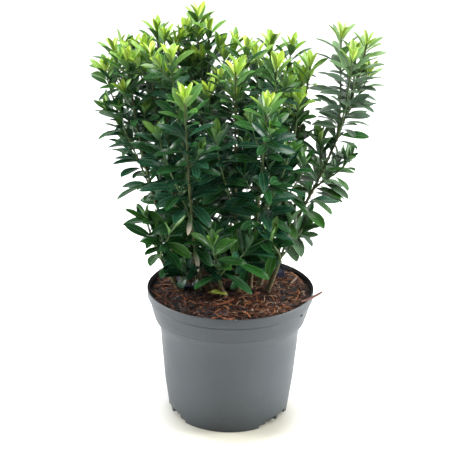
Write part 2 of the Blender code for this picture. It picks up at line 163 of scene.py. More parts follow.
# how far blades fold up along the midrib: most in the bud, and less from pair to pair
BUD_FOLD = 0.50
UNFOLDING = 0.24
UNFOLDED_PAIR = 5
LEAF_TWIST = 0.15
LEAF_WAVE = 0.05
# how far leaves stray sideways, and are rolled about their length, in radians
LEAF_SWING = 0.22
LEAF_ROLL = 0.20
LIGHT_WAY = Vector((0.0, -0.6, 0.8))  # leaves turn their faces part of the way to the light
LIGHT_PULL = 0.60
TRY_SIZES = (1.0, 0.96, 0.92, 0.88)
LEAF_CLEARANCE = 0.0044
REACH_MARGIN = 0.004
# where a blade's points lie along it, and across it in shares of its half width
ROWS = (0.0, 0.08, 0.20, 0.36, 0.54, 0.72, 0.87, 0.96, 1.0)
COLUMNS = (-1.0, -0.55, 0.0, 0.55, 1.0)
# how far along a limb its first leaves sit
BARE_STARTS = {"bough": 0.012, "stem": 0.004, "shoot": 0.012, "twig": 0.005}
TWIG_SHARE = {"bough": 0.50, "stem": 0.24, "shoot": 0.16}
FIRST_TWIG_NODE = 5
TWIG_LENGTHS = (0.022, 0.046)
TWIG_FORWARD = 0.85
TWIG_LEANS = (0.45, 0.85)
TWIG_RISE = 0.25
TWIG_LEAVING = 0.6
TWIG_LEAF = 0.88
# the ages of the pairs from a tip downwards: 0 is a bud leaf in full lime and 4 is dark and old
AGE_STEPS = {
    "stem": (0, 0, 1, 2, 2, 3, 3),
    "shoot": (0, 0, 1, 2, 3, 3),
    "twig": (0, 1, 2, 3, 3),
}
OLD_AGE = 4
FREE_PAIRS = 3  # the first pairs at a tip aren't tested against one another
# where a leaf is tested: how far along it, and how far across in shares of its width
PROBE_SPOTS = ((0.3, 0), (0.5, 0), (0.7, 0), (0.88, 0), (1.0, 0), (0.55, 0.4), (0.55, -0.4))
# leaves are this much of their full size at the foot and at the top of the crown
SIZE_BELOW, SIZE_ABOVE = 1.15, 0.83
SIZE_HEIGHTS = (0.28, 0.48)

# Each limb runs from its foot on the compost to the tip of its main shoot. spread says how
# early it swings outwards, and fork is the height where the bough ends and the foliage starts.
# Side shoots are (how far up the limb they leave it, their tip).
LIMBS = {
    "left_outer": dict(
        foot=(-0.062, 0.010), tip=(-0.136, -0.030, 0.504), spread=0.40, fork=0.250,
        shoots=((0.44, (-0.166, -0.020, 0.489)), (0.52, (-0.159, 0.022, 0.505))),
    ),
    "left_back": dict(
        foot=(-0.052, 0.046), tip=(-0.104, 0.052, 0.526), spread=0.45, fork=0.262,
        shoots=((0.40, (-0.135, 0.064, 0.443)), (0.50, (-0.120, 0.008, 0.513))),
    ),
    "left_inner": dict(
        foot=(-0.028, -0.004), tip=(-0.108, -0.022, 0.511), spread=0.60, fork=0.262,
        shoots=((0.52, (-0.088, -0.016, 0.484)),),
    ),
    "front_left": dict(
        foot=(-0.044, -0.006), tip=(-0.060, -0.100, 0.473), spread=0.20, fork=0.232,
        shoots=((0.42, (-0.094, -0.074, 0.418)), (0.55, (-0.080, -0.052, 0.513))),
    ),
    "top": dict(
        foot=(-0.024, 0.030), tip=(-0.051, 0.060, 0.547), spread=0.30, fork=0.270,
        shoots=((0.45, (-0.063, 0.088, 0.469)), (0.58, (-0.035, 0.036, 0.531)),
                (0.40, (-0.014, 0.024, 0.500))),
    ),
    "front_centre": dict(
        foot=(0.010, -0.006), tip=(0.001, -0.070, 0.501), spread=0.20, fork=0.240,
        shoots=((0.36, (-0.022, -0.086, 0.420)), (0.52, (0.015, -0.014, 0.520))),
    ),
    "front_right": dict(
        foot=(0.026, 0.006), tip=(0.041, -0.100, 0.468), spread=0.10, fork=0.236,
        shoots=((0.36, (0.072, -0.060, 0.394)), (0.58, (0.054, -0.034, 0.501))),
    ),
    "right_back": dict(
        foot=(0.026, 0.044), tip=(0.048, 0.040, 0.515), spread=0.35, fork=0.262,
        shoots=((0.46, (0.075, 0.056, 0.472)), (0.58, (0.074, 0.026, 0.513))),
    ),
    "right_side": dict(
        foot=(0.040, 0.014), tip=(0.098, -0.004, 0.497), spread=0.20, fork=0.244,
        shoots=((0.42, (0.094, -0.034, 0.372)), (0.50, (0.083, -0.026, 0.454))),
    ),
    "right_limb": dict(
        foot=(0.037, 0.033), tip=(0.170, 0.004, 0.525), spread=0.36, fork=0.276,
        shoots=((0.66, (0.137, 0.010, 0.533)), (0.68, (0.149, -0.030, 0.514)),
                (0.74, (0.177, 0.022, 0.482)), (0.52, (0.116, 0.012, 0.392))),
    ),
    "back_left": dict(
        foot=(-0.030, 0.064), tip=(-0.085, 0.112, 0.454), spread=0.50, fork=0.244,
        shoots=((0.40, (-0.122, 0.100, 0.399)), (0.46, (-0.041, 0.130, 0.429))),
    ),
    "back_right": dict(
        foot=(0.016, 0.068), tip=(0.039, 0.112, 0.463), spread=0.50, fork=0.244,
        shoots=((0.40, (0.092, 0.096, 0.412)), (0.46, (0.002, 0.132, 0.424))),
    ),
    "low_left": dict(
        foot=(-0.068, -0.008), tip=(-0.114, -0.030, 0.292), spread=0.30, fork=0.226,
        shoots=((0.50, (-0.080, -0.066, 0.286)),),
    ),
    "low_front": dict(
        foot=(-0.008, -0.028), tip=(-0.023, -0.076, 0.286), spread=0.40, fork=0.200,
        shoots=((0.40, (0.023, -0.070, 0.270)),),
    ),
    "low_right": dict(
        foot=(0.050, -0.008), tip=(0.079, -0.016, 0.288), spread=0.30, fork=0.222,
        shoots=((0.50, (0.053, -0.058, 0.277)),),
    ),
    "low_back": dict(
        foot=(-0.004, 0.084), tip=(0.000, 0.122, 0.290), spread=0.30, fork=0.212,
        shoots=((0.40, (0.059, 0.108, 0.263)), (0.40, (-0.065, 0.108, 0.261))),
    ),
}
# finer shoots that the solids leave out, laid out as theirs are
FINER_SHOOTS = {
    "left_outer": ((0.56, (-0.140, 0.004, 0.482)),),
    "left_back": (
        (0.56, (-0.079, 0.034, 0.514)), (0.58, (-0.134, 0.034, 0.506)),
        (0.60, (-0.093, 0.030, 0.522)),
    ),
    "top": (
        (0.62, (-0.064, 0.046, 0.530)), (0.55, (-0.044, 0.030, 0.498)),
        (0.60, (0.000, 0.030, 0.514)),
    ),
    "front_centre": ((0.55, (0.010, -0.034, 0.498)), (0.45, (-0.033, -0.032, 0.464))),
    "right_back": ((0.55, (0.027, 0.004, 0.508)), (0.52, (0.056, 0.064, 0.480))),
    "right_side": ((0.62, (0.089, 0.004, 0.478)), (0.46, (0.072, -0.022, 0.448))),
    "right_limb": ((0.80, (0.158, 0.020, 0.508)), (0.46, (0.152, -0.004, 0.368))),
    "low_left": ((0.60, (-0.100, -0.052, 0.312)),),
    "low_right": ((0.50, (0.096, 0.004, 0.268)),),
}
# the share of the old leaves missing from limbs that let the light through, and from the others
BARE_SHARES = {
    "back_right": 0.55, "right_back": 0.50, "right_side": 0.34, "back_left": 0.22,
    "front_right": 0.14,
}
BARE_ELSEWHERE = 0.06
# limbs whose pairs sit closer than usual, as a share of the usual gap
CLOSE_PAIRS = {"right_limb": 0.66, "front_left": 0.85, "front_right": 0.85}
THRIFTY_LIMBS = {"right_limb": 0.25}  # the share of their twigs that sparse limbs keep
# how far the crown reaches to the left and to the right at these heights
REACH_HEIGHTS = (0.190, 0.230, 0.255, 0.275, 0.300, 0.360, 0.400, 0.450, 0.490)
REACH_LEFT = (0.104, 0.122, 0.134, 0.141, 0.145, 0.152, 0.164, 0.180, 0.190)
REACH_RIGHT = (0.052, 0.078, 0.110, 0.134, 0.152, 0.162, 0.168, 0.190, 0.198)
REACH_SLACK = 0.007
# and how far right the rest of it reaches, short of the right-hand limb that stands clear
INNER_HEIGHTS = (0.250, 0.280, 0.300, 0.330, 0.370, 0.400, 0.440, 0.470, 0.500)
INNER_RIGHT = (0.086, 0.094, 0.101, 0.101, 0.100, 0.097, 0.107, 0.116, 0.126)
CLEAR_LIMB = "right_limb"
CLEAR_TURN = 0.3  # its pairs open to the sides
# the share of its leaves in a paler, greyer green, by height: a painted sheen of the light from the
# side
PALE_HEIGHTS = (0.34, 0.44)
PALE_SHARES = (0.30, 1.0)
CLEAR_SIZE = 1.15  # its lowest leaves are the longest of all
# the share of these limbs' leaves that are a step younger, and so lighter, than their place says:
# partly a real mix of ages, partly painted light that lifts leaves sitting in shade
YOUNGER_AND_PAINTED_LIGHT_SHARES = {
    "right_limb": 0.75, "right_side": 0.48, "right_back": 0.42, "top": 0.35,
    "low_left": 0.55, "low_front": 0.35, "low_right": 0.50,
}
# leaves keep off the ring of bare compost: they hang no lower than a cone from this far out
OPEN_RING_START = 0.034
OPEN_RING_RISE = 0.42
ABOVE_COMPOST = 0.001
# and from this far inside the compost's edge outwards they hang clear above the rim
RIM_GUARD = 0.006
ABOVE_RIM = 0.002
# shoots that end above these heights have tips in full lime, in spring green and so on down
TIP_AGE_HEIGHTS = (0.450, 0.432, 0.385)


# ---- helpers -----------------------------------------------------------------------------
def deselect():
    if bpy.context.mode != "OBJECT":
        bpy.ops.object.mode_set(mode="OBJECT")
    bpy.ops.object.select_all(action="DESELECT")


def make_active(piece):
    deselect()
    piece.select_set(True)
    bpy.context.view_layer.objects.active = piece


def named(name):
    piece = bpy.context.object
    piece.name = name
    piece.data.name = name
    return piece


def settle(piece):
    """Puts a finished piece's place into its mesh."""
    make_active(piece)
    bpy.ops.object.transform_apply(location=True, rotation=True, scale=True)


def apply_all(piece):
    make_active(piece)
    for modifier in list(piece.modifiers):
        bpy.ops.object.modifier_apply(modifier=modifier.name)


def add_mesh(name, points, faces, material, uvs=None, smooth=True):
    mesh = bpy.data.meshes.new(name)
    mesh.from_pydata(points, [], faces)
    if uvs is not None:
        layer = mesh.uv_layers.new(name="along")
        corners = np.empty(len(mesh.loops), np.int32)
        mesh.loops.foreach_get("vertex_index", corners)
        layer.data.foreach_set("uv", np.asarray(uvs, np.float32)[corners].ravel())
    mesh.polygons.foreach_set("use_smooth", [smooth] * len(mesh.polygons))
    mesh.update()
    piece = bpy.data.objects.new(name, mesh)
    bpy.context.scene.collection.objects.link(piece)
    mesh.materials.append(material)
    return piece


def dress(piece, material):
    piece.data.materials.clear()
    piece.data.materials.append(material)


def hand_in(piece, slot, *nodes):
    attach(piece, "root")
    if nodes:
        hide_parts(*nodes)


def hand_in_leaves(name, leaves, material):
    """Loose leaves in one material, above and below."""
    hand_in(skin(name, leaves, material), "leaf")
    hand_in(skin(f"{name}_under", leaves, material, lower=True), "leaf")


# ---- finishes ----------------------------------------------------------------------------
class Finish:
    """A procedural material: each call adds a few nodes and hands back their output."""

    def __init__(self, name, roughness=0.5, specular=0.5):
        self.material = bpy.data.materials.new(name)
        self.material.use_nodes = True
        tree = self.material.node_tree
        self.nodes = tree.nodes
        self.links = tree.links
        self.shader = self.nodes["Principled BSDF"]
        self.shader.inputs["Roughness"].default_value = roughness
        self.shader.inputs["Specular IOR Level"].default_value = specular
        self.place = self.nodes.new("ShaderNodeTexCoord").outputs["Object"]

    def set(self, node, values):
        for key, value in values.items():
            if hasattr(value, "is_output"):
                self.links.new(value, node.inputs[key])
            else:
                node.inputs[key].default_value = value
        return node

    def stretched(self, scale):
        node = self.nodes.new("ShaderNodeMapping")
        return self.set(node, {"Vector": self.place, "Scale": scale}).outputs["Vector"]

    def noise(self, scale, detail=3.0, rough=0.55, place=None):
        node = self.nodes.new("ShaderNodeTexNoise")
        values = {"Vector": place or self.place, "Scale": scale, "Detail": detail, "Roughness": rough}
        return self.set(node, values).outputs["Fac"]

    def ramp(self, value, stops):
        node = self.nodes.new("ShaderNodeValToRGB")
        self.links.new(value, node.inputs["Fac"])
        ramp = node.color_ramp
        while len(ramp.elements) < len(stops):
            ramp.elements.new(0.5)
        for element, (position, colour) in zip(ramp.elements, stops):
            element.position = position
            element.color = (*colour, 1) if hasattr(colour, "__len__") else (colour,) * 3 + (1,)
        return node.outputs["Color"]

    def mix(self, share, first, second, way="MIX"):
        node = self.nodes.new("ShaderNodeMix")
        node.data_type = "RGBA"
        node.blend_type = way
        sockets = (node.inputs[0], node.inputs[6], node.inputs[7])
        for socket, value in zip(sockets, (share, first, second)):
            if hasattr(value, "is_output"):
                self.links.new(value, socket)
            else:
                socket.default_value = (*value, 1) if hasattr(value, "__len__") else value
        return node.outputs[2]

    def math(self, way, first, second=0.0):
        node = self.nodes.new("ShaderNodeMath")
        node.operation = way
        return self.set(node, {0: first, 1: second}).outputs[0]

    def spread(self, value, low, high):
        node = self.nodes.new("ShaderNodeMapRange")
        return self.set(node, {"Value": value, "To Min": low, "To Max": high}).outputs["Result"]

    def relief(self, height, strength, distance, under=None):
        node = self.nodes.new("ShaderNodeBump")
        values = {"Height": height, "Strength": strength, "Distance": distance}
        if under is not None:
            values["Normal"] = under
        return self.set(node, values).outputs["Normal"]

    def finish(self, colour=None, roughness=None, normal=None):
        for key, value in (("Base Color", colour), ("Roughness", roughness), ("Normal", normal)):
            if value is not None:
                self.links.new(value, self.shader.inputs[key])
        return self.material


def pot_plastic(name, light, dark, dusty):
    """Moulded plastic: faint clouds and flow marks up the wall, a film of dust, and painted shade that
    darkens the collar.
    """
    made = Finish(name, specular=0.42)
    cloudy = made.noise(14, 3)
    colour = made.ramp(cloudy, ((0.25, dark), (0.75, light)))
    flow = made.noise(20, 2, place=made.stretched((1, 1, 0.12)))
    colour = made.mix(made.spread(flow, 0.0, 0.35), colour, tuple(1.16 * value for value in light))
    dust = made.ramp(made.noise(95, 5, 0.7), ((0.58, 0.0), (0.74, 0.30)))
    colour = made.mix(dust, colour, dusty)
    split = made.nodes.new("ShaderNodeSeparateXYZ")
    made.links.new(made.place, split.inputs["Vector"])
    # painted shade: the wall is darker from the collar up
    collar_shade = made.ramp(split.outputs["Z"], tuple(zip(COLLAR_SHADE_HEIGHTS, (1.0, COLLAR_SHADE))))
    colour = made.mix(1.0, colour, collar_shade, "MULTIPLY")
    gloss = made.spread(made.noise(32, 4, 0.6), 0.42, 0.60)
    grain = made.relief(made.noise(1500, 2), 0.16, 0.0003)
    waves = made.relief(made.noise(26, 2), 0.10, 0.002, grain)
    return made.finish(colour, gloss, waves)


def bark_finish(name, light, dark, green, green_share):
    """Thin bark: long fissures up the limb, blotches of green or grey over brown."""
    made = Finish(name, specular=0.3)
    along = made.stretched((1, 1, 0.16))
    fissures = made.noise(900, 4, 0.65, along)
    colour = made.ramp(fissures, ((0.34, dark), (0.66, light)))
    blotch = made.ramp(made.noise(70, 3), ((0.44, 0.0), (0.60, green_share)))
    colour = made.mix(blotch, colour, green)
    gloss = made.spread(made.noise(300, 2), 0.55, 0.85)
    fine = made.relief(made.noise(2400, 3), 0.35, 0.0003)
    return made.finish(colour, gloss, made.relief(fissures, 0.8, 0.0008, fine))


def leaf_finish(name, colour, shade, roughness, veins=0.30, specular=0.5, tip=None):
    """Waxy blade: patches of a deeper tone, pale margin, side veins and a low, uneven sheen.

    Where a tip colour is given, the outer half of the blade fades to it, dried unevenly.
    """
    made = Finish(name, specular=specular)
    patches = made.noise(46, 3)
    toned = made.mix(made.spread(patches, 0.0, 1.0), shade, colour)
    uv = made.nodes.new("ShaderNodeUVMap")
    uv.uv_map = "along"
    split = made.nodes.new("ShaderNodeSeparateXYZ")
    made.links.new(uv.outputs["UV"], split.inputs["Vector"])
    across = made.math("ABSOLUTE", made.math("SUBTRACT", split.outputs["X"], 0.5))
    edge = made.ramp(across, ((0.38, 0.0), (0.50, 0.60)))
    pale = tuple(min(1.0, 2.1 * channel + 0.03) for channel in colour)
    toned = made.mix(edge, toned, pale)
    pairs = made.math("MULTIPLY", split.outputs["Y"], 9.0)
    slanted = made.math("SUBTRACT", pairs, made.math("MULTIPLY", across, 3.2))
    vein = made.ramp(made.math("PINGPONG", slanted, 0.5), ((0.0, 1.0), (0.10, 0.0)))
    toned = made.mix(made.math("MULTIPLY", vein, 0.22), toned, pale)
    if tip:
        worn = made.math("ADD", split.outputs["Y"], made.spread(made.noise(240, 3), -0.16, 0.16))
        dried = made.ramp(worn, ((0.42, 0.0), (0.58, 0.40), (0.70, 0.72), (0.88, 1.0)))
        toned = made.mix(dried, toned, tip)
    gloss = made.spread(made.noise(120, 3), roughness - 0.07, roughness + 0.12)
    fine = made.relief(made.noise(700, 2), 0.14, 0.0003)
    return made.finish(toned, gloss, made.relief(vein, veins, 0.0003, fine))


def plain_green(name, colour, shade, roughness):
    made = Finish(name, specular=0.4)
    toned = made.mix(made.noise(160, 3), shade, colour)
    gloss = made.spread(made.noise(300, 2), roughness, roughness + 0.15)
    return made.finish(toned, gloss, made.relief(made.noise(1200, 2), 0.25, 0.0002))


def compost_finish(name, colour, dark, scale=260, gloss=(0.6, 0.95)):
    """Wet shredded bark: streaks and dark pits in one tone."""
    made = Finish(name, specular=0.35)
    colour, dark = (tuple(WETNESS * value for value in tone) for tone in (colour, dark))
    streaks = made.noise(scale, 4, 0.7)
    toned = made.ramp(streaks, ((0.32, dark), (0.62, colour)))
    patches = made.noise(38, 2)
    toned = made.mix(made.spread(patches, 0.0, 0.5), toned, dark)
    grain = made.relief(made.noise(scale * 4, 3, 0.7), 0.6, 0.0006)
    return made.finish(toned, made.spread(streaks, *gloss), grain)


# ---- pot ---------------------------------------------------------------------------------
def turned_wall():
    """The pot as one skin: up the outside ring by ring, over the lip, down the inside."""
    stations = [(share * RIM_RADIUS, height * POT_HEIGHT) for share, height in OUTSIDE + INSIDE]
    radius, height = stations[0]
    deselect()
    bpy.ops.mesh.primitive_circle_add(
        vertices=POT_SIDES, radius=radius, fill_type="NGON", location=(0, 0, height)
    )
    pot = named("pot_wall")
    bpy.ops.object.mode_set(mode="EDIT")
    bpy.ops.mesh.select_all(action="SELECT")
    bpy.ops.mesh.flip_normals()
    bpy.ops.mesh.select_mode(type="EDGE")
    bpy.ops.mesh.select_all(action="DESELECT")
    bpy.ops.mesh.select_non_manifold()
    for (near, low), (far, high) in zip(stations[:-1], stations[1:]):
        bpy.ops.mesh.extrude_edges_move(TRANSFORM_OT_translate={"value": (0, 0, high - low)})
        bpy.ops.transform.resize(value=(far / near, far / near, 1), center_override=(0, 0, high))
    bpy.ops.mesh.edge_face_add()
    bpy.ops.mesh.select_all(action="SELECT")
    bpy.ops.mesh.normals_make_consistent(inside=False)
    bpy.ops.object.mode_set(mode="OBJECT")
    settle(pot)
    return pot


def box_cutter(name, middle_radius, angle, size, bottom, top, rounding):
    """A block with rounded corners, set square to the pot's wall."""
    depth, width = size
    deselect()
    bpy.ops.mesh.primitive_cube_add(size=1)
    cutter = named(name)
    cutter.scale = (depth, width, top - bottom)
    cutter.rotation_euler = (0, 0, angle)
    cutter.location = (
        middle_radius * math.cos(angle), middle_radius * math.sin(angle), (top + bottom) / 2
    )
    bpy.context.view_layer.update()
    settle(cutter)
    bevel = cutter.modifiers.new("rounding", "BEVEL")
    bevel.width = rounding
    bevel.segments = 3
    apply_all(cutter)
    return cutter


def carve(piece, cutters):
    for cutter in cutters:
        cut = piece.modifiers.new(cutter.name, "BOOLEAN")
        cut.operation = "DIFFERENCE"
        cut.object = cutter
    apply_all(piece)
    for cutter in cutters:
        bpy.data.objects.remove(cutter, do_unlink=True)


def make_pot():
    pot = turned_wall()
    cutters = []
    pitch = 2 * math.pi / FOOT_COUNT
    for foot in range(FOOT_COUNT):
        middle = FOOT_MIDDLE + (foot + 0.5) * pitch
        width = 2 * BASE_RADIUS * math.sin(RAISED_SPAN / 2)
        cutters.append(box_cutter(
            f"raised_{foot}", BASE_RADIUS, middle, (RAISED_DEPTH, width),
            CUTTER_BOTTOM, RAISED_HEIGHT, RAISED_ROUNDING
        ))
        for side in (-1, 1):
            angle = middle + side * (DRAIN_SPAN + DRAIN_RIB) / 2
            width = BASE_RADIUS * DRAIN_SPAN
            cutters.append(box_cutter(
                f"drain_{foot}_{side}", BASE_RADIUS, angle, (2 * DRAIN_DEPTH, width),
                CUTTER_BOTTOM, DRAIN_TOP, DRAIN_ROUNDING
            ))
    depth, width, height = CARRY_HOLE_SIZE
    for number, degrees in enumerate(CARRY_HOLE_ANGLES):
        cutters.append(box_cutter(
            f"carry_{number}", CARRY_HOLE_RADIUS, math.radians(degrees), (depth, width),
            CARRY_HOLE_HEIGHT - height / 2, CARRY_HOLE_HEIGHT + height / 2, CARRY_HOLE_ROUNDING
        ))
    carve(pot, cutters)
    bevel = pot.modifiers.new("softened_edges", "BEVEL")
    bevel.width = SOFT_EDGE
    bevel.segments = 2
    bevel.limit_method = "ANGLE"
    bevel.angle_limit = math.radians(50)
    apply_all(pot)
    make_active(pot)
    bpy.ops.object.shade_smooth_by_angle(angle=math.radians(40))
    dress(pot, pot_plastic("pot_plastic", *PLASTIC_TONES))
    pot.data.materials.append(pot_plastic("pot_lining", *LINING_TONES))
    for face in pot.data.polygons:
        outwards = face.normal.xy.dot(face.center.xy.normalized())
        inside = face.center.xy.length < LINING_RADIUS and face.center.z > LINING_HEIGHT
        face.material_index = 1 if inside and outwards < LOOKS_OUT else 0
    hand_in(pot, "pot_plastic", "pot")


# ---- compost -----------------------------------------------------------------------------
BED_RADIUS = 0.968 * RIM_RADIUS
BED_EDGE = 0.9470 * POT_HEIGHT  # height of the compost at the wall
BED_MIDDLE = SOIL_TOP - 0.0015
BED_DEPTH = 0.03
BED_SIDES = 120
BED_RINGS = 40
BED_FOOT = 0.90  # its underside is this much narrower
BED_LUMPS = 0.0030
BED_CLOUDS = ((60, 0.7), (160, 0.5), (420, 0.28))  # how fine each cloud of lumps is, and its share
WETNESS = 0.69  # darkens every tone of the compost
FRONT_HEAP = 0.0042
HEAP_PLACE = -0.085
HEAP_WIDTH, HEAP_DEPTH = 0.055, 0.035
RIGHT_BANK = 0.0036  # how much higher the compost lies against the wall on the right


def bed_height(x, y):
    """Height of the compost's surface: dished at the wall, heaped at the front, lumpy all over."""
    share = min(1.0, math.hypot(x, y) / BED_RADIUS)
    height = BED_EDGE + (BED_MIDDLE - BED_EDGE) * (1 - share**5)
    heap = (x / HEAP_WIDTH) ** 2 + ((y - HEAP_PLACE) / HEAP_DEPTH) ** 2
    height += FRONT_HEAP * math.exp(-heap)
    height += RIGHT_BANK * max(0.0, x / BED_RADIUS) * share**3
    place = Vector((x, y, 0))
    lumps = sum(noise.noise(place * fineness) * part for fineness, part in BED_CLOUDS)
    return height + BED_LUMPS * lumps * (1.15 - 0.5 * share)


def make_bed():
    deselect()
    bpy.ops.mesh.primitive_cylinder_add(
        vertices=BED_SIDES, radius=BED_RADIUS, depth=BED_DEPTH,
        location=(0, 0, BED_EDGE - BED_DEPTH / 2)
    )
    bed = named("compost_bed")
    bpy.ops.object.mode_set(mode="EDIT")
    bpy.ops.mesh.select_all(action="DESELECT")
    shape = bmesh.from_edit_mesh(bed.data)
    shape.faces.ensure_lookup_table()
    for face in shape.faces:
        face.select_set(face.normal.z > 0.9)
    bmesh.update_edit_mesh(bed.data)
    for _ in range(BED_RINGS):
        bpy.ops.mesh.inset(thickness=BED_RADIUS / (BED_RINGS + 1))
    bpy.ops.mesh.poke()
    bpy.ops.object.mode_set(mode="OBJECT")
    settle(bed)
    for vertex in bed.data.vertices:
        x, y, z = vertex.co
        if z > BED_EDGE - 0.001:
            vertex.co.z = bed_height(x, y)
        else:
            vertex.co.x *= BED_FOOT
            vertex.co.y *= BED_FOOT
    make_active(bed)
    bpy.ops.object.shade_smooth()
    dress(bed, compost_finish("compost_dark", (0.040, 0.016, 0.009), (0.007, 0.004, 0.003)))
    hand_in(bed, "compost", "soil")


def spot_on_bed(rule, reach):
    radius = BED_RADIUS * reach * math.sqrt(rule.random())
    angle = rule.uniform(0, 2 * math.pi)
    return radius * math.cos(angle), radius * math.sin(angle)


def shred_shape(start, heading, length, width, lift, tilt, curl):
    """A bent three-sided sliver of bark or coir, in five stations, as (points, faces)."""
    steps = 4
    points = []
    position = Vector(start)
    for step in range(steps + 1):
        share = step / steps
        turn = heading + curl * (share - 0.5)
        slope = tilt + lift * (share - 0.5)
        ahead = Vector((
            math.cos(turn) * math.cos(slope), math.sin(turn) * math.cos(slope), math.sin(slope)
        ))
        if step:
            position = position + ahead * (length / steps)
        side = Vector((-math.sin(turn), math.cos(turn), 0))
        girth = width * (0.35 + 0.65 * math.sin(math.pi * (0.12 + 0.76 * share)))
        rim = ahead.cross(side)
        points.append(position + side * (girth / 2))
        points.append(position - side * (girth / 2))
        points.append(position - rim * (girth * 0.35))
    faces = []
    for step in range(steps):
        for corner in range(3):
            following = (corner + 1) % 3
            low, high = 3 * step, 3 * step + 3
            faces.append((low + corner, low + following, high + following, high + corner))
    faces.append((2, 1, 0))
    faces.append((3 * steps, 3 * steps + 1, 3 * steps + 2))
    return points, faces


def chip_shape(rule, middle, heading, length, width, thickness, tilt):
    """A broken flake of bark: a six-cornered slab with uneven corners."""
    level = Matrix.Rotation(heading, 3, "Z") @ Matrix.Rotation(tilt, 3, "X")
    level = level @ Matrix.Rotation(rule.uniform(-0.4, 0.4), 3, "Y")
    outline = []
    for corner in range(6):
        angle = corner * math.pi / 3 + rule.uniform(-0.3, 0.3)
        reach = rule.uniform(0.7, 1.05)
        outline.append((length / 2 * reach * math.cos(angle), width / 2 * reach * math.sin(angle)))
    points = []
    for half, shrink in ((-0.5, 0.92), (0.5, 0.80)):
        for x, y in outline:
            bump = rule.uniform(-0.25, 0.25)
            points.append(middle + level @ Vector((x * shrink, y * shrink, thickness * (half + bump))))
    faces = [tuple(reversed(range(6))), tuple(range(6, 12))]
    faces += [(n, (n + 1) % 6, 6 + (n + 1) % 6, 6 + n) for n in range(6)]
    return points, faces


def crumb_shape(rule, middle, size):
    """A small lump with eight uneven faces."""
    points = []
    for axis in (Vector((1, 0, 0)), Vector((0, 1, 0)), Vector((0, 0, 1))):
        for sign in (1, -1):
            points.append(middle + axis * (sign * size / 2 * rule.uniform(0.6, 1.2)))
    faces = [(0, 2, 4), (2, 1, 4), (1, 3, 4), (3, 0, 4), (2, 0, 5), (1, 2, 5), (3, 1, 5), (0, 3, 5)]
    return points, faces


def joined(name, shapes, material):
    points, faces = [], []
    for some_points, some_faces in shapes:
        base = len(points)
        points += some_points
        faces += [tuple(base + corner for corner in face) for face in some_faces]
    return add_mesh(name, points, faces, material, smooth=False)


# name: kind, count, lengths, widths, and then the light and the dark tone
LITTER = {
    "coir_brown": ("shred", 700, (0.010, 0.030), (0.0007, 0.0016),
                   (0.130, 0.048, 0.021), (0.030, 0.011, 0.007)),
    "coir_red": ("shred", 560, (0.010, 0.028), (0.0008, 0.0018),
                 (0.250, 0.078, 0.032), (0.060, 0.018, 0.010)),
    "coir_orange": ("shred", 360, (0.010, 0.032), (0.0010, 0.0024),
                    (0.600, 0.235, 0.075), (0.160, 0.052, 0.020)),
    "coir_pale": ("shred", 200, (0.010, 0.028), (0.0007, 0.0014),
                  (0.740, 0.500, 0.320), (0.300, 0.170, 0.100)),
    "coir_dark": ("shred", 620, (0.010, 0.026), (0.0010, 0.0024),
                  (0.030, 0.014, 0.010), (0.006, 0.004, 0.004)),
    "chips_brown": ("chip", 210, (0.008, 0.018), (0.004, 0.008),
                    (0.170, 0.062, 0.032), (0.035, 0.014, 0.009)),
    "chips_red": ("chip", 180, (0.008, 0.020), (0.003, 0.007),
                  (0.330, 0.115, 0.062), (0.075, 0.024, 0.015)),
    "chips_dark": ("chip", 420, (0.008, 0.020), (0.005, 0.011),
                   (0.022, 0.015, 0.018), (0.006, 0.005, 0.008)),
    "chips_pale": ("chip", 80, (0.005, 0.012), (0.0015, 0.004),
                   (0.620, 0.480, 0.380), (0.330, 0.220, 0.160)),
    "crumbs_brown": ("crumb", 500, (0.0010, 0.0026), (0, 0),
                     (0.120, 0.042, 0.020), (0.022, 0.010, 0.007)),
    "crumbs_dark": ("crumb", 800, (0.0012, 0.0036), (0, 0),
                    (0.020, 0.011, 0.010), (0.005, 0.004, 0.004)),
}
# how far out each kind lies, as a share of the bed's radius
LITTER_REACH = {"shred": 0.93, "chip": 0.93, "crumb": 0.97}
CHIP_THICKNESSES = (0.0008, 0.0022)
SHRED_BENDS = (-0.9, 0.6)
SHRED_CURLS = (-1.9, 1.9)
SHRED_TILT = 0.14
# most of the pale pieces lie on the right and most of the dark ones on the left
SIDED = 0.6
SIDES = {"chips_pale": 1, "coir_pale": 1, "chips_dark": -1}


def litter_shape(rule, name, kind, lengths, widths):
    length = rule.uniform(*lengths)
    width = rule.uniform(*widths)
    x, y = spot_on_bed(rule, LITTER_REACH[kind])
    if rule.random() < SIDED:
        x = abs(x) * SIDES.get(name, math.copysign(1, x))
    middle = Vector((x, y, bed_height(x, y)))
    heading = rule.uniform(0, 2 * math.pi)
    if kind == "crumb":
        return crumb_shape(rule, middle + UP * rule.uniform(0, 0.001), length)
    if kind == "chip":
        thickness = rule.uniform(*CHIP_THICKNESSES)
        middle = middle + UP * rule.uniform(0.0004, 0.0020)
        return chip_shape(rule, middle, heading, length, width, thickness, rule.uniform(-0.5, 0.5))
    ahead = Vector((math.cos(heading), math.sin(heading), 0))
    start = middle - ahead * (length / 2)
    if start.xy.length > BED_RADIUS or (start + ahead * length).xy.length > BED_RADIUS:
        heading += math.pi / 2
        ahead = Vector((math.cos(heading), math.sin(heading), 0))
        start = middle - ahead * (length / 2)
    start.z += rule.uniform(0.0002, 0.0026)
    tilt = rule.gauss(0, SHRED_TILT)
    bend = rule.uniform(*SHRED_BENDS)
    return shred_shape(start, heading, length, width, bend, tilt, rule.uniform(*SHRED_CURLS))


def make_litter():
    rule = random.Random(SEEDS["litter"])
    for name, (kind, count, lengths, widths, colour, dark) in LITTER.items():
        shapes = [litter_shape(rule, name, kind, lengths, widths) for _ in range(count)]
        piece = joined(name, shapes, compost_finish(name, colour, dark, 420, (0.45, 0.85)))
        hand_in(piece, "compost")


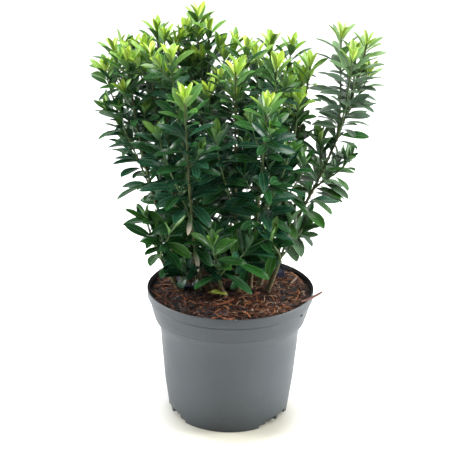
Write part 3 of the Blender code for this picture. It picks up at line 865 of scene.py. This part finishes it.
# long pieces that lie by themselves: start, end, width, and then the light and the dark tone
ODD_BARK = {
    "bark_over_rim": ((0.096, -0.054, 0.1850), (0.126, -0.033, 0.1905), 0.0066,
                      (0.34, 0.17, 0.13), (0.12, 0.05, 0.04)),
    "twig_over_rim": ((0.074, 0.064, 0.1800), (0.106, 0.074, 0.1905), 0.0016,
                      (0.07, 0.05, 0.04), (0.02, 0.015, 0.013)),
    "red_strip": ((-0.020, -0.070, 0.1845), (0.006, -0.058, 0.1875), 0.0050,
                  (0.42, 0.15, 0.07), (0.16, 0.05, 0.025)),
    "pale_strip": ((0.084, 0.008, 0.1860), (0.094, 0.026, 0.1885), 0.0036,
                   (0.62, 0.47, 0.38), (0.34, 0.22, 0.16)),
}
# chunks of blue-black bark: middle, length, width, thickness
CHUNKS = {
    "chunk_back": ((0.0680, 0.0460, 0.1840), 0.025, 0.020, 0.012),
    "chunk_left": ((-0.072, 0.018, 0.1800), 0.024, 0.016, 0.008),
    "chunk_front_left": ((-0.060, -0.004, 0.1800), 0.018, 0.013, 0.007),
}
CHUNK_HEADING, CHUNK_TILT = 0.5, 0.15
FALLEN_LEAF = dict(
    root=Vector((-0.0290, -0.0500, 0.1940)), along=Vector((0.905, 0.412, -0.10)).normalized(),
    upper=Vector((0.12, -0.42, 0.90)).normalized(), length=0.029, width=0.0105, arch=0.35,
    fold=0.30, twist=0.1, wave=0.03, phase=0.4,
)


def make_oddments():
    """A few strips, dark chunks and a fallen leaf that lie on the compost."""
    rule = random.Random(SEEDS["oddments"])
    for name, (start, end, width, colour, dark) in ODD_BARK.items():
        start, end = Vector(start), Vector(end)
        way = end - start
        heading, slope = math.atan2(way.y, way.x), math.asin(way.z / way.length)
        shape = shred_shape(start, heading, way.length, width, 0.12, slope, 0.25)
        bark = compost_finish(name, colour, dark, 300, (0.5, 0.8))
        hand_in(joined(name, [shape], bark), "compost")
    navy = compost_finish("bark_navy", (0.012, 0.020, 0.055), (0.005, 0.008, 0.022), 300, (0.4, 0.7))
    shapes = []
    for middle, length, width, thickness in CHUNKS.values():
        shapes.append(chip_shape(
            rule, Vector(middle), CHUNK_HEADING, length, width, thickness, CHUNK_TILT
        ))
    hand_in(joined("bark_chunks", shapes, navy), "compost")
    yellow = leaf_finish("fallen_yellow", (0.270, 0.300, 0.035), (0.130, 0.180, 0.022), 0.45)
    hand_in_leaves("fallen_leaf", [FALLEN_LEAF], yellow)


# ---- limbs -------------------------------------------------------------------------------
def bezier(controls, t):
    first, second, third, last = controls
    s = 1 - t
    return first * s**3 + second * (3 * s * s * t) + third * (3 * s * t * t) + last * t**3


def limb_controls(foot, tip, spread):
    start, end = Vector(foot), Vector(tip)
    across = Vector((end.x - start.x, end.y - start.y, 0))
    rise = end.z - start.z
    second = start + across * (EARLY_REACH + SPREAD_REACH * spread) + UP * (rise / 4)
    third = start + across * (LATE_REACH + SPREAD_REACH * spread) + UP * (rise * 3 / 5)
    return start, second, third, end


def shoot_controls(start, tangent, tip):
    end = Vector(tip)
    handle = (end - start).length / 3
    straight = (end - start).normalized()
    leaving = (tangent + straight * SHOOT_LEAN).normalized()
    arriving = (straight + UP * SHOOT_RISE).normalized()
    return start, start + leaving * handle, end - arriving * handle, end


def tangent_at(controls, t):
    step = 0.01
    return (bezier(controls, min(1, t + step)) - bezier(controls, max(0, t - step))).normalized()


def height_fraction(controls, height):
    low, high = 0.0, 1.0
    for _ in range(40):
        middle = (low + high) / 2
        if bezier(controls, middle).z < height:
            low = middle
        else:
            high = middle
    return low


def out_from(tangent, angle):
    """The way out from a limb, at an angle round it."""
    first = tangent.cross(Vector((0, 1, 0)))
    first.normalize()
    second = tangent.cross(first).normalized()
    return first * math.cos(angle) + second * math.sin(angle)


class Axis:
    """One leafy line of the shrub: the stretch of a curve between two shares, with its radii."""

    def __init__(self, kind, controls, span, radii, tip_age=0):
        self.kind = kind
        self.controls = controls
        self.span = span
        self.radii = radii
        self.tip_age = tip_age
        low, high = span
        steps = range(AXIS_STEPS + 1)
        self.points = [bezier(controls, low + (high - low) * n / AXIS_STEPS) for n in steps]
        self.lengths = [0.0]
        for near, far in zip(self.points[:-1], self.points[1:]):
            self.lengths.append(self.lengths[-1] + (far - near).length)
        self.length = self.lengths[-1]
        self.nodes = []

    def at(self, distance):
        """(point, tangent, radius) at a distance along the axis."""
        distance = min(max(distance, 0.0), self.length)
        place = float(np.interp(distance, self.lengths, range(len(self.lengths))))
        share = place / (len(self.lengths) - 1)
        t = self.span[0] + (self.span[1] - self.span[0]) * share
        radius = self.radii[0] + (self.radii[1] - self.radii[0]) * share
        return bezier(self.controls, t), tangent_at(self.controls, t), radius


def plan_axes():
    """Every limb's bough, stem and side shoots, as the solids have them."""
    boughs, axes = [], []
    for name, limb in LIMBS.items():
        controls = limb_controls((*limb["foot"], SOIL_TOP), limb["tip"], limb["spread"])
        fork = height_fraction(controls, limb["fork"])
        boughs.append((name, controls, fork))
        axes.append((name, Axis("bough", controls, (0.0, fork), (BOUGH_RADII[0], STEM_RADII[0]))))
        axes.append((name, Axis("stem", controls, (fork, 1.0), STEM_RADII)))
        for share, tip in limb["shoots"] + FINER_SHOOTS.get(name, ()):
            start = bezier(controls, max(share, fork + SHOOT_START))
            curve = shoot_controls(start, tangent_at(controls, share), tip)
            axes.append((name, Axis("shoot", curve, (0.0, 1.0), SHOOT_RADII)))
    return boughs, axes


def pair_value(table, number, last):
    return table[number] if number < len(table) else last


def lay_nodes(name, axis, rule):
    """Marks where leaf pairs sit, from the tip down, as (distance, number from the tip)."""
    distance = axis.length - BUD
    number = 0
    if axis.kind == "bough":
        distance -= INTERNODE * rule.uniform(*FIRST_GAPS)
        number = len(PAIR_TILTS)
    while distance > BARE_STARTS[axis.kind]:
        axis.nodes.append((distance, number))
        number += 1
        gap = min(pair_value(PAIR_GAPS, number, INTERNODE), INTERNODE * CLOSE_PAIRS.get(name, 1.0))
        if axis.kind == "twig":
            gap *= TWIG_GAP
        distance -= gap * rule.uniform(*GAP_SPREAD)


class Space:
    """Points already taken, kept in cells so that a new leaf is tested only near itself."""

    def __init__(self, size):
        self.size = size
        self.cells = {}

    def key(self, point):
        return tuple(math.floor(value / self.size) for value in point)

    def add(self, points):
        for point in points:
            self.cells.setdefault(self.key(point), []).append(point)

    def near(self, point, reach):
        a, b, c = self.key(point)
        for x in (a - 1, a, a + 1):
            for y in (b - 1, b, b + 1):
                for z in (c - 1, c, c + 1):
                    for other in self.cells.get((x, y, z), ()):
                        if (other - point).length < reach:
                            return True
        return False


def leaf_probe(leaf):
    """Points over a leaf that stand for it when its clearances are tested."""
    side = leaf["along"].cross(leaf["upper"])
    arch = leaf["arch"]
    found = []
    for share, across in PROBE_SPOTS:
        ahead, down = share, 0.0
        if abs(arch) > 1e-3:
            ahead = math.sin(arch * share) / arch
            down = (1 - math.cos(arch * share)) / arch
        point = leaf["root"] + leaf["along"] * (leaf["length"] * ahead)
        point = point + leaf["upper"] * (-leaf["length"] * down)
        found.append(point + side * (across * leaf["width"]))
    return found


def age_of(number, kind, tip_age):
    return min(OLD_AGE, pair_value(AGE_STEPS.get(kind, ()), number, OLD_AGE) + tip_age)


def tip_age_at(height):
    return sum(height < limit for limit in TIP_AGE_HEIGHTS)


def within(point, name, mass, slack):
    """Whether a leaf's point keeps to the crown's outline, and to its own mass from front to back."""
    low, high = mass
    left = -float(np.interp(point.z, REACH_HEIGHTS, REACH_LEFT))
    right = float(np.interp(point.z, REACH_HEIGHTS, REACH_RIGHT))
    if name != CLEAR_LIMB:
        right = min(right, float(np.interp(point.z, INNER_HEIGHTS, INNER_RIGHT)))
    if not left - slack < point.x < right + slack:
        return False
    return low.y - REACH_MARGIN < point.y < high.y + REACH_MARGIN and point.z < high.z + REACH_MARGIN


def draw_leaf(axis, name, place, below, number, angle, try_size, rule):
    """One leaf by the rule, with small strays of its own, before it is known to fit."""
    point, tangent, radius = place
    out = out_from(tangent, angle + rule.uniform(-LEAF_SWING, LEAF_SWING))
    tilt = math.radians(pair_value(PAIR_TILTS, number, OLD_TILT) + rule.gauss(0, TILT_STRAY))
    droop = OLD_DROOP * below**1.2 * rule.uniform(*DROOP_SPREAD)
    droop *= float(np.interp(point.z, DROOP_HEIGHTS, DROOP_SHARES))
    along = (tangent * math.cos(tilt) + out * math.sin(tilt) - UP * droop).normalized()
    facing = (tangent - along * tangent.dot(along)).normalized() + LIGHT_WAY * LIGHT_PULL
    upper = (facing - along * facing.dot(along)).normalized()
    upper = Matrix.Rotation(rule.gauss(0, LEAF_ROLL), 3, along) @ upper
    size = pair_value(PAIR_SIZES, number, 1.0) * rule.uniform(*SIZE_SPREAD) * try_size
    size *= float(np.interp(point.z, SIZE_HEIGHTS, (SIZE_BELOW, SIZE_ABOVE)))
    if axis.kind == "twig":
        size *= TWIG_LEAF
    if name == CLEAR_LIMB and point.z < PALE_HEIGHTS[0]:
        size *= CLEAR_SIZE
    width = LEAF_WIDTH * size**0.85 * rule.uniform(*WIDTH_SPREAD)
    arch = rule.uniform(*ARCHES) + OLD_ARCH * below * rule.random()
    if number < 2:
        arch = rule.uniform(*BUD_ARCHES)
    return dict(
        root=point + out * radius * 0.6, along=along, upper=upper,
        length=LEAF_LENGTH * size, width=width, arch=arch,
    )


def fits(probe, name, number, mass, space, rule):
    """Whether a leaf keeps off the rim and the bare compost, in its mass, and off the others."""
    low = min(probe, key=lambda place: place.z)
    out = low.xy.length
    if low.z < POT_HEIGHT + ABOVE_RIM and out > BED_RADIUS - RIM_GUARD:
        return False
    if low.z < SOIL_TOP + ABOVE_COMPOST + OPEN_RING_RISE * max(0.0, out - OPEN_RING_START):
        return False
    slack = rule.gauss(0, REACH_SLACK)
    if not all(within(place, name, mass, slack) for place in probe):
        return False
    return number < FREE_PAIRS or not any(space.near(place, LEAF_CLEARANCE) for place in probe)


def leaves_of(axis, name, mass, rule, space, leaves):
    """Adds an axis's pairs of leaves, each leaf in the first of a few sizes that fits."""
    bare_share = BARE_SHARES.get(name, BARE_ELSEWHERE)
    turn = rule.uniform(0, math.pi)
    if name == CLEAR_LIMB:
        turn = CLEAR_TURN
    for distance, number in axis.nodes:
        place = axis.at(distance)
        age = age_of(number, axis.kind, axis.tip_age)
        # a step younger and lighter: partly a real mix of ages, partly painted light on leaves in
        # shade
        if age > 1 and rule.random() < YOUNGER_AND_PAINTED_LIGHT_SHARES.get(name, 0.0):
            age -= 1
        below = min(1.0, (axis.length - distance) / AGEING_LENGTH)
        angle = turn + number * math.pi / 2 + rule.uniform(-LEAF_SWING, LEAF_SWING)
        for half in (0, math.pi):
            if age == OLD_AGE and rule.random() < bare_share:
                continue
            for try_size in TRY_SIZES:
                leaf = draw_leaf(axis, name, place, below, number, angle + half, try_size, rule)
                probe = leaf_probe(leaf)
                if not fits(probe, name, number, mass, space, rule):
                    continue
                leaf.update(
                    age=age, fold=BUD_FOLD - UNFOLDING * min(1, number / UNFOLDED_PAIR),
                    twist=rule.gauss(0, LEAF_TWIST), wave=rule.uniform(0, LEAF_WAVE),
                    phase=rule.random(),
                )
                # some of the clear limb's leaves take the painted sheen, more of them higher up
                pale_share = float(np.interp(place[0].z, PALE_HEIGHTS, PALE_SHARES))
                leaf["sage"] = name == CLEAR_LIMB and leaf["phase"] < pale_share
                leaves.append(leaf)
                space.add(probe)
                break


def grow_twigs(axes, rule):
    """Finer twigs from leaf axils along the stems and shoots."""
    twigs = []
    for name, axis in axes:
        for distance, number in axis.nodes:
            share = TWIG_SHARE[axis.kind] * THRIFTY_LIMBS.get(name, 1.0)
            if number < FIRST_TWIG_NODE or rule.random() > share:
                continue
            point, tangent, _ = axis.at(distance)
            out = out_from(tangent, rule.uniform(0, 2 * math.pi))
            way = (tangent * TWIG_FORWARD + out * rule.uniform(*TWIG_LEANS)).normalized()
            length = rule.uniform(*TWIG_LENGTHS)
            end = point + way * length + UP * (length * TWIG_RISE)
            curve = shoot_controls(point, (tangent * TWIG_LEAVING + out).normalized(), end)
            twigs.append((name, Axis("twig", curve, (0.0, 1.0), TWIG_RADII, tip_age_at(end.z))))
    return twigs


def tube_spline(curve, stations):
    spline = curve.splines.new("POLY")
    spline.points.add(len(stations) - 1)
    for spot, (point, radius) in zip(spline.points, stations):
        spot.co = (*point, 1)
        spot.radius = radius


def tubes(name, lines, sides, material, relief=0.0, grain=0.004):
    """Round limbs through (point, radius) stations, made one mesh, with uneven bark."""
    curve = bpy.data.curves.new(name, "CURVE")
    curve.dimensions = "3D"
    curve.bevel_depth = 1.0
    curve.bevel_resolution = sides // 2 - 1
    curve.use_fill_caps = True
    for stations in lines:
        tube_spline(curve, stations)
    piece = bpy.data.objects.new(name, curve)
    bpy.context.scene.collection.objects.link(piece)
    make_active(piece)
    bpy.ops.object.convert(target="MESH")
    piece = named(name)
    if relief:
        for number, (size, share) in enumerate(((grain, 1.0), (grain / 3, 0.5))):
            clouds = bpy.data.textures.new(f"{name}_{number}", "CLOUDS")
            clouds.noise_scale = size
            knobbly = piece.modifiers.new("bark", "DISPLACE")
            knobbly.texture = clouds
            knobbly.texture_coords = "LOCAL"
            knobbly.strength = relief * share
            knobbly.mid_level = 0.5
        apply_all(piece)
    make_active(piece)
    bpy.ops.object.shade_smooth()
    dress(piece, material)
    return piece


def axis_stations(axis, step):
    """Stations along an axis, swollen where leaf pairs sit."""
    count = round(axis.length / step)
    stations = []
    for distance in sorted({n * axis.length / max(1, count) for n in range(count + 1)}):
        point, _, radius = axis.at(distance)
        near = min((abs(distance - node) for node, _ in axis.nodes), default=1.0)
        swell = 1 + NODE_SWELL * math.exp(-((near / NODE_SWELL_LENGTH) ** 2))
        stations.append((point, radius * swell))
    return stations


def bough_stations(controls, fork, rule):
    """A woody foot: sunk in the compost, flared, with old leaf scars as faint rings."""
    scars = [rule.uniform(*SCAR_SPANS) for _ in range(SCAR_COUNT)]
    stations = [(controls[0] - UP * SUNK, BOUGH_RADII[0] * FLARE * 1.05)]
    for step in range(BOUGH_STEPS + 1):
        share = step / BOUGH_STEPS
        point = bezier(controls, fork * share)
        radius = BOUGH_RADII[0] + (STEM_RADII[0] - BOUGH_RADII[0]) * share
        height = point.z - controls[0].z
        radius *= 1 + (FLARE - 1) * math.exp(-height / FLARE_HEIGHT)
        rings = sum(math.exp(-(((share - scar) / SCAR_LENGTH) ** 2)) for scar in scars)
        radius *= 1 + SCAR_SWELL * rings
        stations.append((point, radius))
    return stations


# light, dark and blotched tones of the bark, and then the two tones of the green wood
WOODY_TONES = ((0.190, 0.145, 0.075), (0.048, 0.036, 0.021), (0.085, 0.100, 0.036))
STEM_TONES = ((0.080, 0.115, 0.032), (0.030, 0.042, 0.014), (0.110, 0.090, 0.045))
SHOOT_TONES = ((0.085, 0.145, 0.034), (0.040, 0.068, 0.018))
TWIG_TONES = ((0.060, 0.110, 0.028), (0.030, 0.058, 0.016))
GREEN_WOOD_ROUGHNESS = 0.45


def make_limbs(boughs, axes, twigs):
    rule = random.Random(SEEDS["limbs"])
    bark = bark_finish("woody_bark", *WOODY_TONES, 0.75)
    green = bark_finish("green_bark", *STEM_TONES, 0.50)
    lines = [bough_stations(controls, fork, rule) for _, controls, fork in boughs]
    wood = tubes("boughs", lines, 12, bark, relief=0.0011)
    hand_in(wood, "bark", *[node for node in NODES if node.startswith("stem_")])
    lines = [axis_stations(axis, STEM_STEP) for _, axis in axes if axis.kind == "stem"]
    stems = tubes("stems", lines, 8, green, relief=0.0004, grain=0.003)
    hand_in(stems, "bark", *[node for node in NODES if node.startswith("foliage_")])
    shoot_green = plain_green("shoot_green", *SHOOT_TONES, GREEN_WOOD_ROUGHNESS)
    lines = [axis_stations(axis, SHOOT_STEP) for _, axis in axes if axis.kind == "shoot"]
    hand_in(tubes("side_shoots", lines, 6, shoot_green), "bark")
    twig_green = plain_green("twig_green", *TWIG_TONES, GREEN_WOOD_ROUGHNESS)
    lines = [axis_stations(axis, TWIG_STEP) for _, axis in twigs]
    hand_in(tubes("fine_twigs", lines, 6, twig_green), "bark")


# ---- leaves ------------------------------------------------------------------------------
BASE_POWER = 0.96  # how slowly a blade widens from its stalk
TIP_POWER = 0.70  # the smaller, the blunter its tip
STALK = 0.11
RIB_WIDTH = 0.0015
RIB_HEIGHT = 0.00016
RIB_LIFT = 0.00003
# roughness and specular share of the upper skins, up to age 2 and past it
YOUNG_WAX, OLD_WAX = (0.30, 0.45), (0.22, 0.30)
# roughness, veins' relief and specular share of the lower skins
UNDERSIDE = (0.55, 0.15, 0.30)
# how much lighter midribs are than a mix of both skins' tones, up to age 2 and past it
YOUNG_GLOW, OLD_GLOW = 0.045, 0.018
RIB_ROUGHNESS = 0.40


def blade_outline(share):
    """Half a blade's width along its length, as a share of its greatest half width."""
    grown = np.clip((share - 0.05) / 0.95, 0, 1)
    peak = BASE_POWER / (BASE_POWER + TIP_POWER)
    body = grown**BASE_POWER * (1 - grown) ** TIP_POWER
    body = body / (peak**BASE_POWER * (1 - peak) ** TIP_POWER)
    return np.maximum(body, np.where(share < 0.5, STALK, 0.10))


def blade_points(leaves, across, lift):
    """(leaf, row, column) points of many leaves' skins, lifted off the middle skin."""
    def column(key):
        return np.array([leaf[key] for leaf in leaves], float)[:, None, None]

    def vector(key):
        return np.array([leaf[key] for leaf in leaves], float)[:, None, None, :]

    rows = np.array(ROWS)[None, :, None]
    along, upper, root = vector("along"), vector("upper"), vector("root")
    side = np.cross(along, upper)
    length, width = column("length"), column("width")
    arch = np.where(np.abs(column("arch")) < 1e-3, 1e-3, column("arch"))
    bend = arch * rows
    ahead = length * np.sin(bend) / arch
    down = -length * (1 - np.cos(bend)) / arch
    facing = np.cos(bend)[..., None] * upper + np.sin(bend)[..., None] * along
    twist = (column("twist") * rows)[..., None]
    level = side * np.cos(twist) + facing * np.sin(twist)
    facing = facing * np.cos(twist) - side * np.sin(twist)
    half = width / 2 * blade_outline(rows)
    offset = across(half)
    rise = column("fold") * np.abs(offset) ** 1.25 * (width / 2) ** -0.25
    ripple = np.sin(2 * np.pi * (1.7 * rows + column("phase"))) * column("wave")
    rise = rise + ripple * np.abs(offset) * np.sign(offset)
    middle = root + ahead[..., None] * along + down[..., None] * upper
    return middle + offset[..., None] * level + (rise + lift)[..., None] * facing


def grid_faces(count, rows, columns, turned_over):
    """Quads of many equal grids, all facing the same way."""
    corners = []
    for row in range(rows - 1):
        for column in range(columns - 1):
            low = row * columns + column
            quad = (low, low + 1, low + columns + 1, low + columns)
            corners.append(quad[::-1] if turned_over else quad)
    one = np.array(corners)
    steps = (np.arange(count) * rows * columns)[:, None, None]
    return (one[None] + steps).reshape(-1, 4).tolist()


def skin(name, leaves, material, lower=False):
    """The upper or the lower skin of many leaves as one mesh."""
    shares = np.array(COLUMNS)[None, None, :]
    lift = -LEAF_THICKNESS * (1 - 0.9 * shares**2) if lower else 0.0 * shares
    points = blade_points(leaves, lambda half: half * shares, lift)
    count, rows, columns, _ = points.shape
    u, v = np.meshgrid((np.array(COLUMNS) + 1) / 2, np.array(ROWS))
    uvs = np.tile(np.stack([u, v], -1).reshape(-1, 2), (count, 1))
    faces = grid_faces(count, rows, columns, lower)
    return add_mesh(name, points.reshape(-1, 3).tolist(), faces, material, uvs)


def ribs(name, leaves, material, lower=False):
    """The midribs of many leaves, as tapered strips proud of the blade."""
    width = RIB_WIDTH * (1.12 - np.array(ROWS)[None, :, None])
    sides = np.array((-0.5, 0.0, 0.5))[None, None, :]
    proud = RIB_HEIGHT * (1 - 2 * np.abs(sides)) + RIB_LIFT
    lift = -LEAF_THICKNESS - proud if lower else proud
    points = blade_points(leaves, lambda half: np.minimum(width, 1.6 * half) * sides, lift)
    count, rows, columns, _ = points.shape
    faces = grid_faces(count, rows, columns, lower)
    return add_mesh(name, points.reshape(-1, 3).tolist(), faces, material)


# age: tints of the upper skin as (name, colour, shade), then the lower skin's
LEAF_TINTS = {
    0: ((("lime", (0.310, 0.480, 0.032), (0.170, 0.340, 0.024)),
         ("lime_gold", (0.410, 0.560, 0.036), (0.240, 0.400, 0.026))),
        ((0.340, 0.470, 0.060), (0.220, 0.350, 0.040))),
    1: ((("spring", (0.145, 0.315, 0.032), (0.075, 0.205, 0.022)),
         ("spring_yellow", (0.220, 0.385, 0.032), (0.120, 0.260, 0.022))),
        ((0.200, 0.320, 0.070), (0.130, 0.230, 0.050))),
    2: ((("green", (0.058, 0.180, 0.020), (0.029, 0.105, 0.013)),
         ("green_yellow", (0.090, 0.205, 0.018), (0.046, 0.125, 0.013))),
        ((0.090, 0.190, 0.045), (0.056, 0.135, 0.034))),
    3: ((("deep", (0.022, 0.104, 0.016), (0.010, 0.057, 0.009)),
         ("deep_yellow", (0.032, 0.112, 0.013), (0.015, 0.062, 0.008))),
        ((0.046, 0.112, 0.036), (0.030, 0.078, 0.026))),
    4: ((("dark", (0.015, 0.076, 0.017), (0.007, 0.040, 0.010)),
         ("dark_blue", (0.013, 0.066, 0.030), (0.006, 0.036, 0.017))),
        ((0.030, 0.078, 0.030), (0.020, 0.054, 0.022))),
}
# painted sheen: the share of a tint that is kept, and the grey that is added to it
SHEEN_SHARE, SHEEN_LIFT = 0.82, 0.055


def sage(colour):
    """The same green, paler and greyer, as a painted sheen."""
    return tuple(SHEEN_SHARE * value + SHEEN_LIFT for value in colour)


def make_leaves(leaves):
    rule = random.Random(SEEDS["tints"])
    for age, (tints, (under, under_shade)) in LEAF_TINTS.items():
        mine = [leaf for leaf in leaves if leaf["age"] == age]
        # a third tint for each age: the painted sheen
        tints += ((f"sage_{age}", sage(tints[0][1]), sage(tints[0][2])),)
        dealt = [[] for _ in tints]
        for leaf in mine:
            dealt[2 if leaf["sage"] else rule.randrange(2)].append(leaf)
        for (name, colour, shade), some in zip(tints, dealt):
            gloss, specular = OLD_WAX if age > 2 else YOUNG_WAX
            waxy = leaf_finish(f"leaf_{name}", colour, shade, gloss, specular=specular)
            hand_in(skin(f"leaves_{name}", some, waxy), "leaf")
        name = tints[0][0]
        below = leaf_finish(f"underside_{name}", under, under_shade, *UNDERSIDE)
        hand_in(skin(f"undersides_{name}", mine, below, lower=True), "leaf")
        glow = OLD_GLOW if age > 2 else YOUNG_GLOW
        pale = tuple(min(1.0, 0.7 * a + 0.5 * b + glow) for a, b in zip(under, tints[0][1]))
        rib = plain_green(f"rib_{name}", pale, under, RIB_ROUGHNESS)
        hand_in(ribs(f"ribs_{name}", mine, rib), "leaf")
        hand_in(ribs(f"ribs_under_{name}", mine, rib, lower=True), "leaf")


# ---- shrub -------------------------------------------------------------------------------
# dry, bleached leaves on one bough: the height of the stalk and the place of the tip
DRY_LIMB = "front_left"
DRY_LEAVES = (
    (0.309, (-0.0572, -0.0680, 0.2820)),
    (0.262, (-0.0430, -0.0600, 0.2270)),
)
DRY_SHAPE = dict(width=0.0068, arch=0.15, fold=0.6, twist=0.5, wave=0.05, phase=0.3)
DRY_TIP = (0.740, 0.660, 0.520)
# where along a leaf and across a chunk it's kept in view, and how far in front of it
SHOWN_ALONG = (0.25, 0.5, 0.75, 1.0)
SHOWN_ACROSS = (-0.008, 0.0, 0.008)
SHOWN_STEPS = [0.003 * step for step in range(2, 36)]
SPACE_CELL = 0.006


def dry_leaves(boughs):
    controls = next(controls for name, controls, _ in boughs if name == DRY_LIMB)
    found = []
    for height, tip in DRY_LEAVES:
        root = bezier(controls, height_fraction(controls, height))
        reach = Vector(tip) - root
        along = reach.normalized()
        upper = (LIGHT_WAY - along * along.dot(LIGHT_WAY)).normalized()
        found.append(dict(root=root, along=along, upper=upper, length=reach.length, **DRY_SHAPE))
    return found


def keep_in_view(space, shown):
    """Takes up a strip in front of each point, so that no old leaf hides it from the camera."""
    for point in shown:
        way = (Vector(CAMERA_PLACE) - point).normalized()
        space.add([point + way * step for step in SHOWN_STEPS])


def make_shrub():
    rule = random.Random(SEEDS["shrub"])
    boughs, axes = plan_axes()
    for name, axis in axes:
        axis.tip_age = tip_age_at(axis.points[-1].z)
        lay_nodes(name, axis, rule)
    twigs = grow_twigs(axes, rule)
    space = Space(SPACE_CELL)
    dry = dry_leaves(boughs)
    for leaf in dry + [FALLEN_LEAF]:
        ahead = leaf["along"] * leaf["length"]
        keep_in_view(space, [leaf["root"] + ahead * share for share in SHOWN_ALONG])
    chunk = Vector(CHUNKS["chunk_back"][0])
    keep_in_view(space, [chunk + Vector((across, 0, 0)) for across in SHOWN_ACROSS])
    leaves = []
    masses = {name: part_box(f"foliage_{name}") for name in LIMBS}
    for name, axis in sorted(axes, key=lambda pair: pair[0] != CLEAR_LIMB):
        leaves_of(axis, name, masses[name], rule, space, leaves)
    for name, axis in twigs:
        lay_nodes(name, axis, rule)
        leaves_of(axis, name, masses[name], rule, space, leaves)
    make_limbs(boughs, axes, twigs)
    make_leaves(leaves)
    straw = leaf_finish(
        "dry_straw", (0.080, 0.140, 0.050), (0.040, 0.085, 0.030), 0.55, tip=DRY_TIP
    )
    hand_in_leaves("dry_leaves", dry, straw)


# ---- room --------------------------------------------------------------------------------
CAMERA_PLACE = (0.0048, -1.5983, 0.8602)
CAMERA_PITCH = math.radians(90 - 20.643)
CAMERA_ROLL = math.radians(1.2)
FIELD = 2 * math.atan(235 / 1254.43)  # half the picture's width over the focal length
FLOOR_SIZE = 14
FLOOR_MIDDLE = (0, 3, 0)
# painted shadow: the floor is a little darker and warmer round a place in front of the pot's middle,
# as (half the distance from it, tone)
FLOOR_SHADOW_MIDDLE = (0.012, -0.045, 0.0)
PAINTED_FLOOR_SHADOW = (
    (0.030, (0.40, 0.39, 0.33)), (0.045, (0.60, 0.595, 0.55)), (0.062, (0.82, 0.82, 0.81)),
    (0.60, 1.0),
)
# the sky's light by direction: axis, where it fades from and to, and its strength at both
SKY_FADES = (
    ("Y", (-0.95, 0.10), (0.10, 0.52)),
    ("Z", (0.10, 0.80), (0.0, 0.45)),
)
# name: place, target, size and power
SOFT_BOXES = {
    "softbox_top": ((0.1, -0.22, 2.2), (0, 0, 0.3), (1.2, 1.2), 52),
    "softbox_back": ((0, 2.6, 2.2), (0, 2.8, 0), (3.0, 1.5), 24),
    "softbox_left": ((-1.7, 0.05, 0.9), (0, 0, 0.25), (0.7, 1.2), 51),
    "softbox_right": ((1.7, 0.05, 0.9), (0, 0, 0.25), (0.7, 1.2), 66),
}


def area_light(name, place, target, size, power):
    light = bpy.data.lights.new(name, "AREA")
    light.shape = "RECTANGLE"
    light.size, light.size_y = size
    light.energy = power
    lamp = bpy.data.objects.new(name, light)
    lamp.location = place
    lamp.rotation_euler = (Vector(place) - Vector(target)).to_track_quat("Z", "Y").to_euler()
    bpy.context.scene.collection.objects.link(lamp)


def make_floor():
    deselect()
    bpy.ops.mesh.primitive_plane_add(size=FLOOR_SIZE, location=FLOOR_MIDDLE)
    floor = named("floor")
    settle(floor)
    # painted shadow: the floor's tone darkens and warms round the pot's foot
    made = Finish("floor_paper", roughness=0.9, specular=0.1)
    away = made.nodes.new("ShaderNodeVectorMath")
    away.operation = "DISTANCE"
    made.links.new(made.place, away.inputs[0])
    away.inputs[1].default_value = FLOOR_SHADOW_MIDDLE
    half_way = made.math("MULTIPLY", away.outputs["Value"], 0.5)
    dress(floor, made.finish(made.ramp(half_way, PAINTED_FLOOR_SHADOW)))


def make_sky():
    world = bpy.data.worlds.new("studio")
    bpy.context.scene.world = world
    world.use_nodes = True
    tree = world.node_tree
    background = tree.nodes["Background"]
    place = tree.nodes.new("ShaderNodeTexCoord").outputs["Generated"]
    split = tree.nodes.new("ShaderNodeSeparateXYZ")
    tree.links.new(place, split.inputs["Vector"])
    total = tree.nodes.new("ShaderNodeMath")
    for (axis, reach, strengths), socket in zip(SKY_FADES, total.inputs):
        fade = tree.nodes.new("ShaderNodeMapRange")
        for key, value in zip(("From Min", "From Max", "To Min", "To Max"), reach + strengths):
            fade.inputs[key].default_value = value
        tree.links.new(split.outputs[axis], fade.inputs["Value"])
        tree.links.new(fade.outputs["Result"], socket)
    tree.links.new(total.outputs[0], background.inputs["Strength"])
    background.inputs["Color"].default_value = (1, 1, 1, 1)


def make_camera():
    scene = bpy.context.scene
    camera = bpy.data.cameras.new("camera")
    camera.sensor_width = 36.0
    camera.angle = FIELD
    view = bpy.data.objects.new("camera", camera)
    view.location = CAMERA_PLACE
    turned = Matrix.Rotation(CAMERA_PITCH, 3, "X") @ Matrix.Rotation(CAMERA_ROLL, 3, "Z")
    view.rotation_euler = turned.to_euler()
    scene.collection.objects.link(view)
    scene.camera = view
    scene.view_settings.view_transform = "Standard"
    scene.view_settings.look = "None"


make_pot()
make_bed()
make_litter()
make_oddments()
make_shrub()
make_floor()
make_sky()
for lamp, values in SOFT_BOXES.items():
    area_light(lamp, *values)
make_camera()
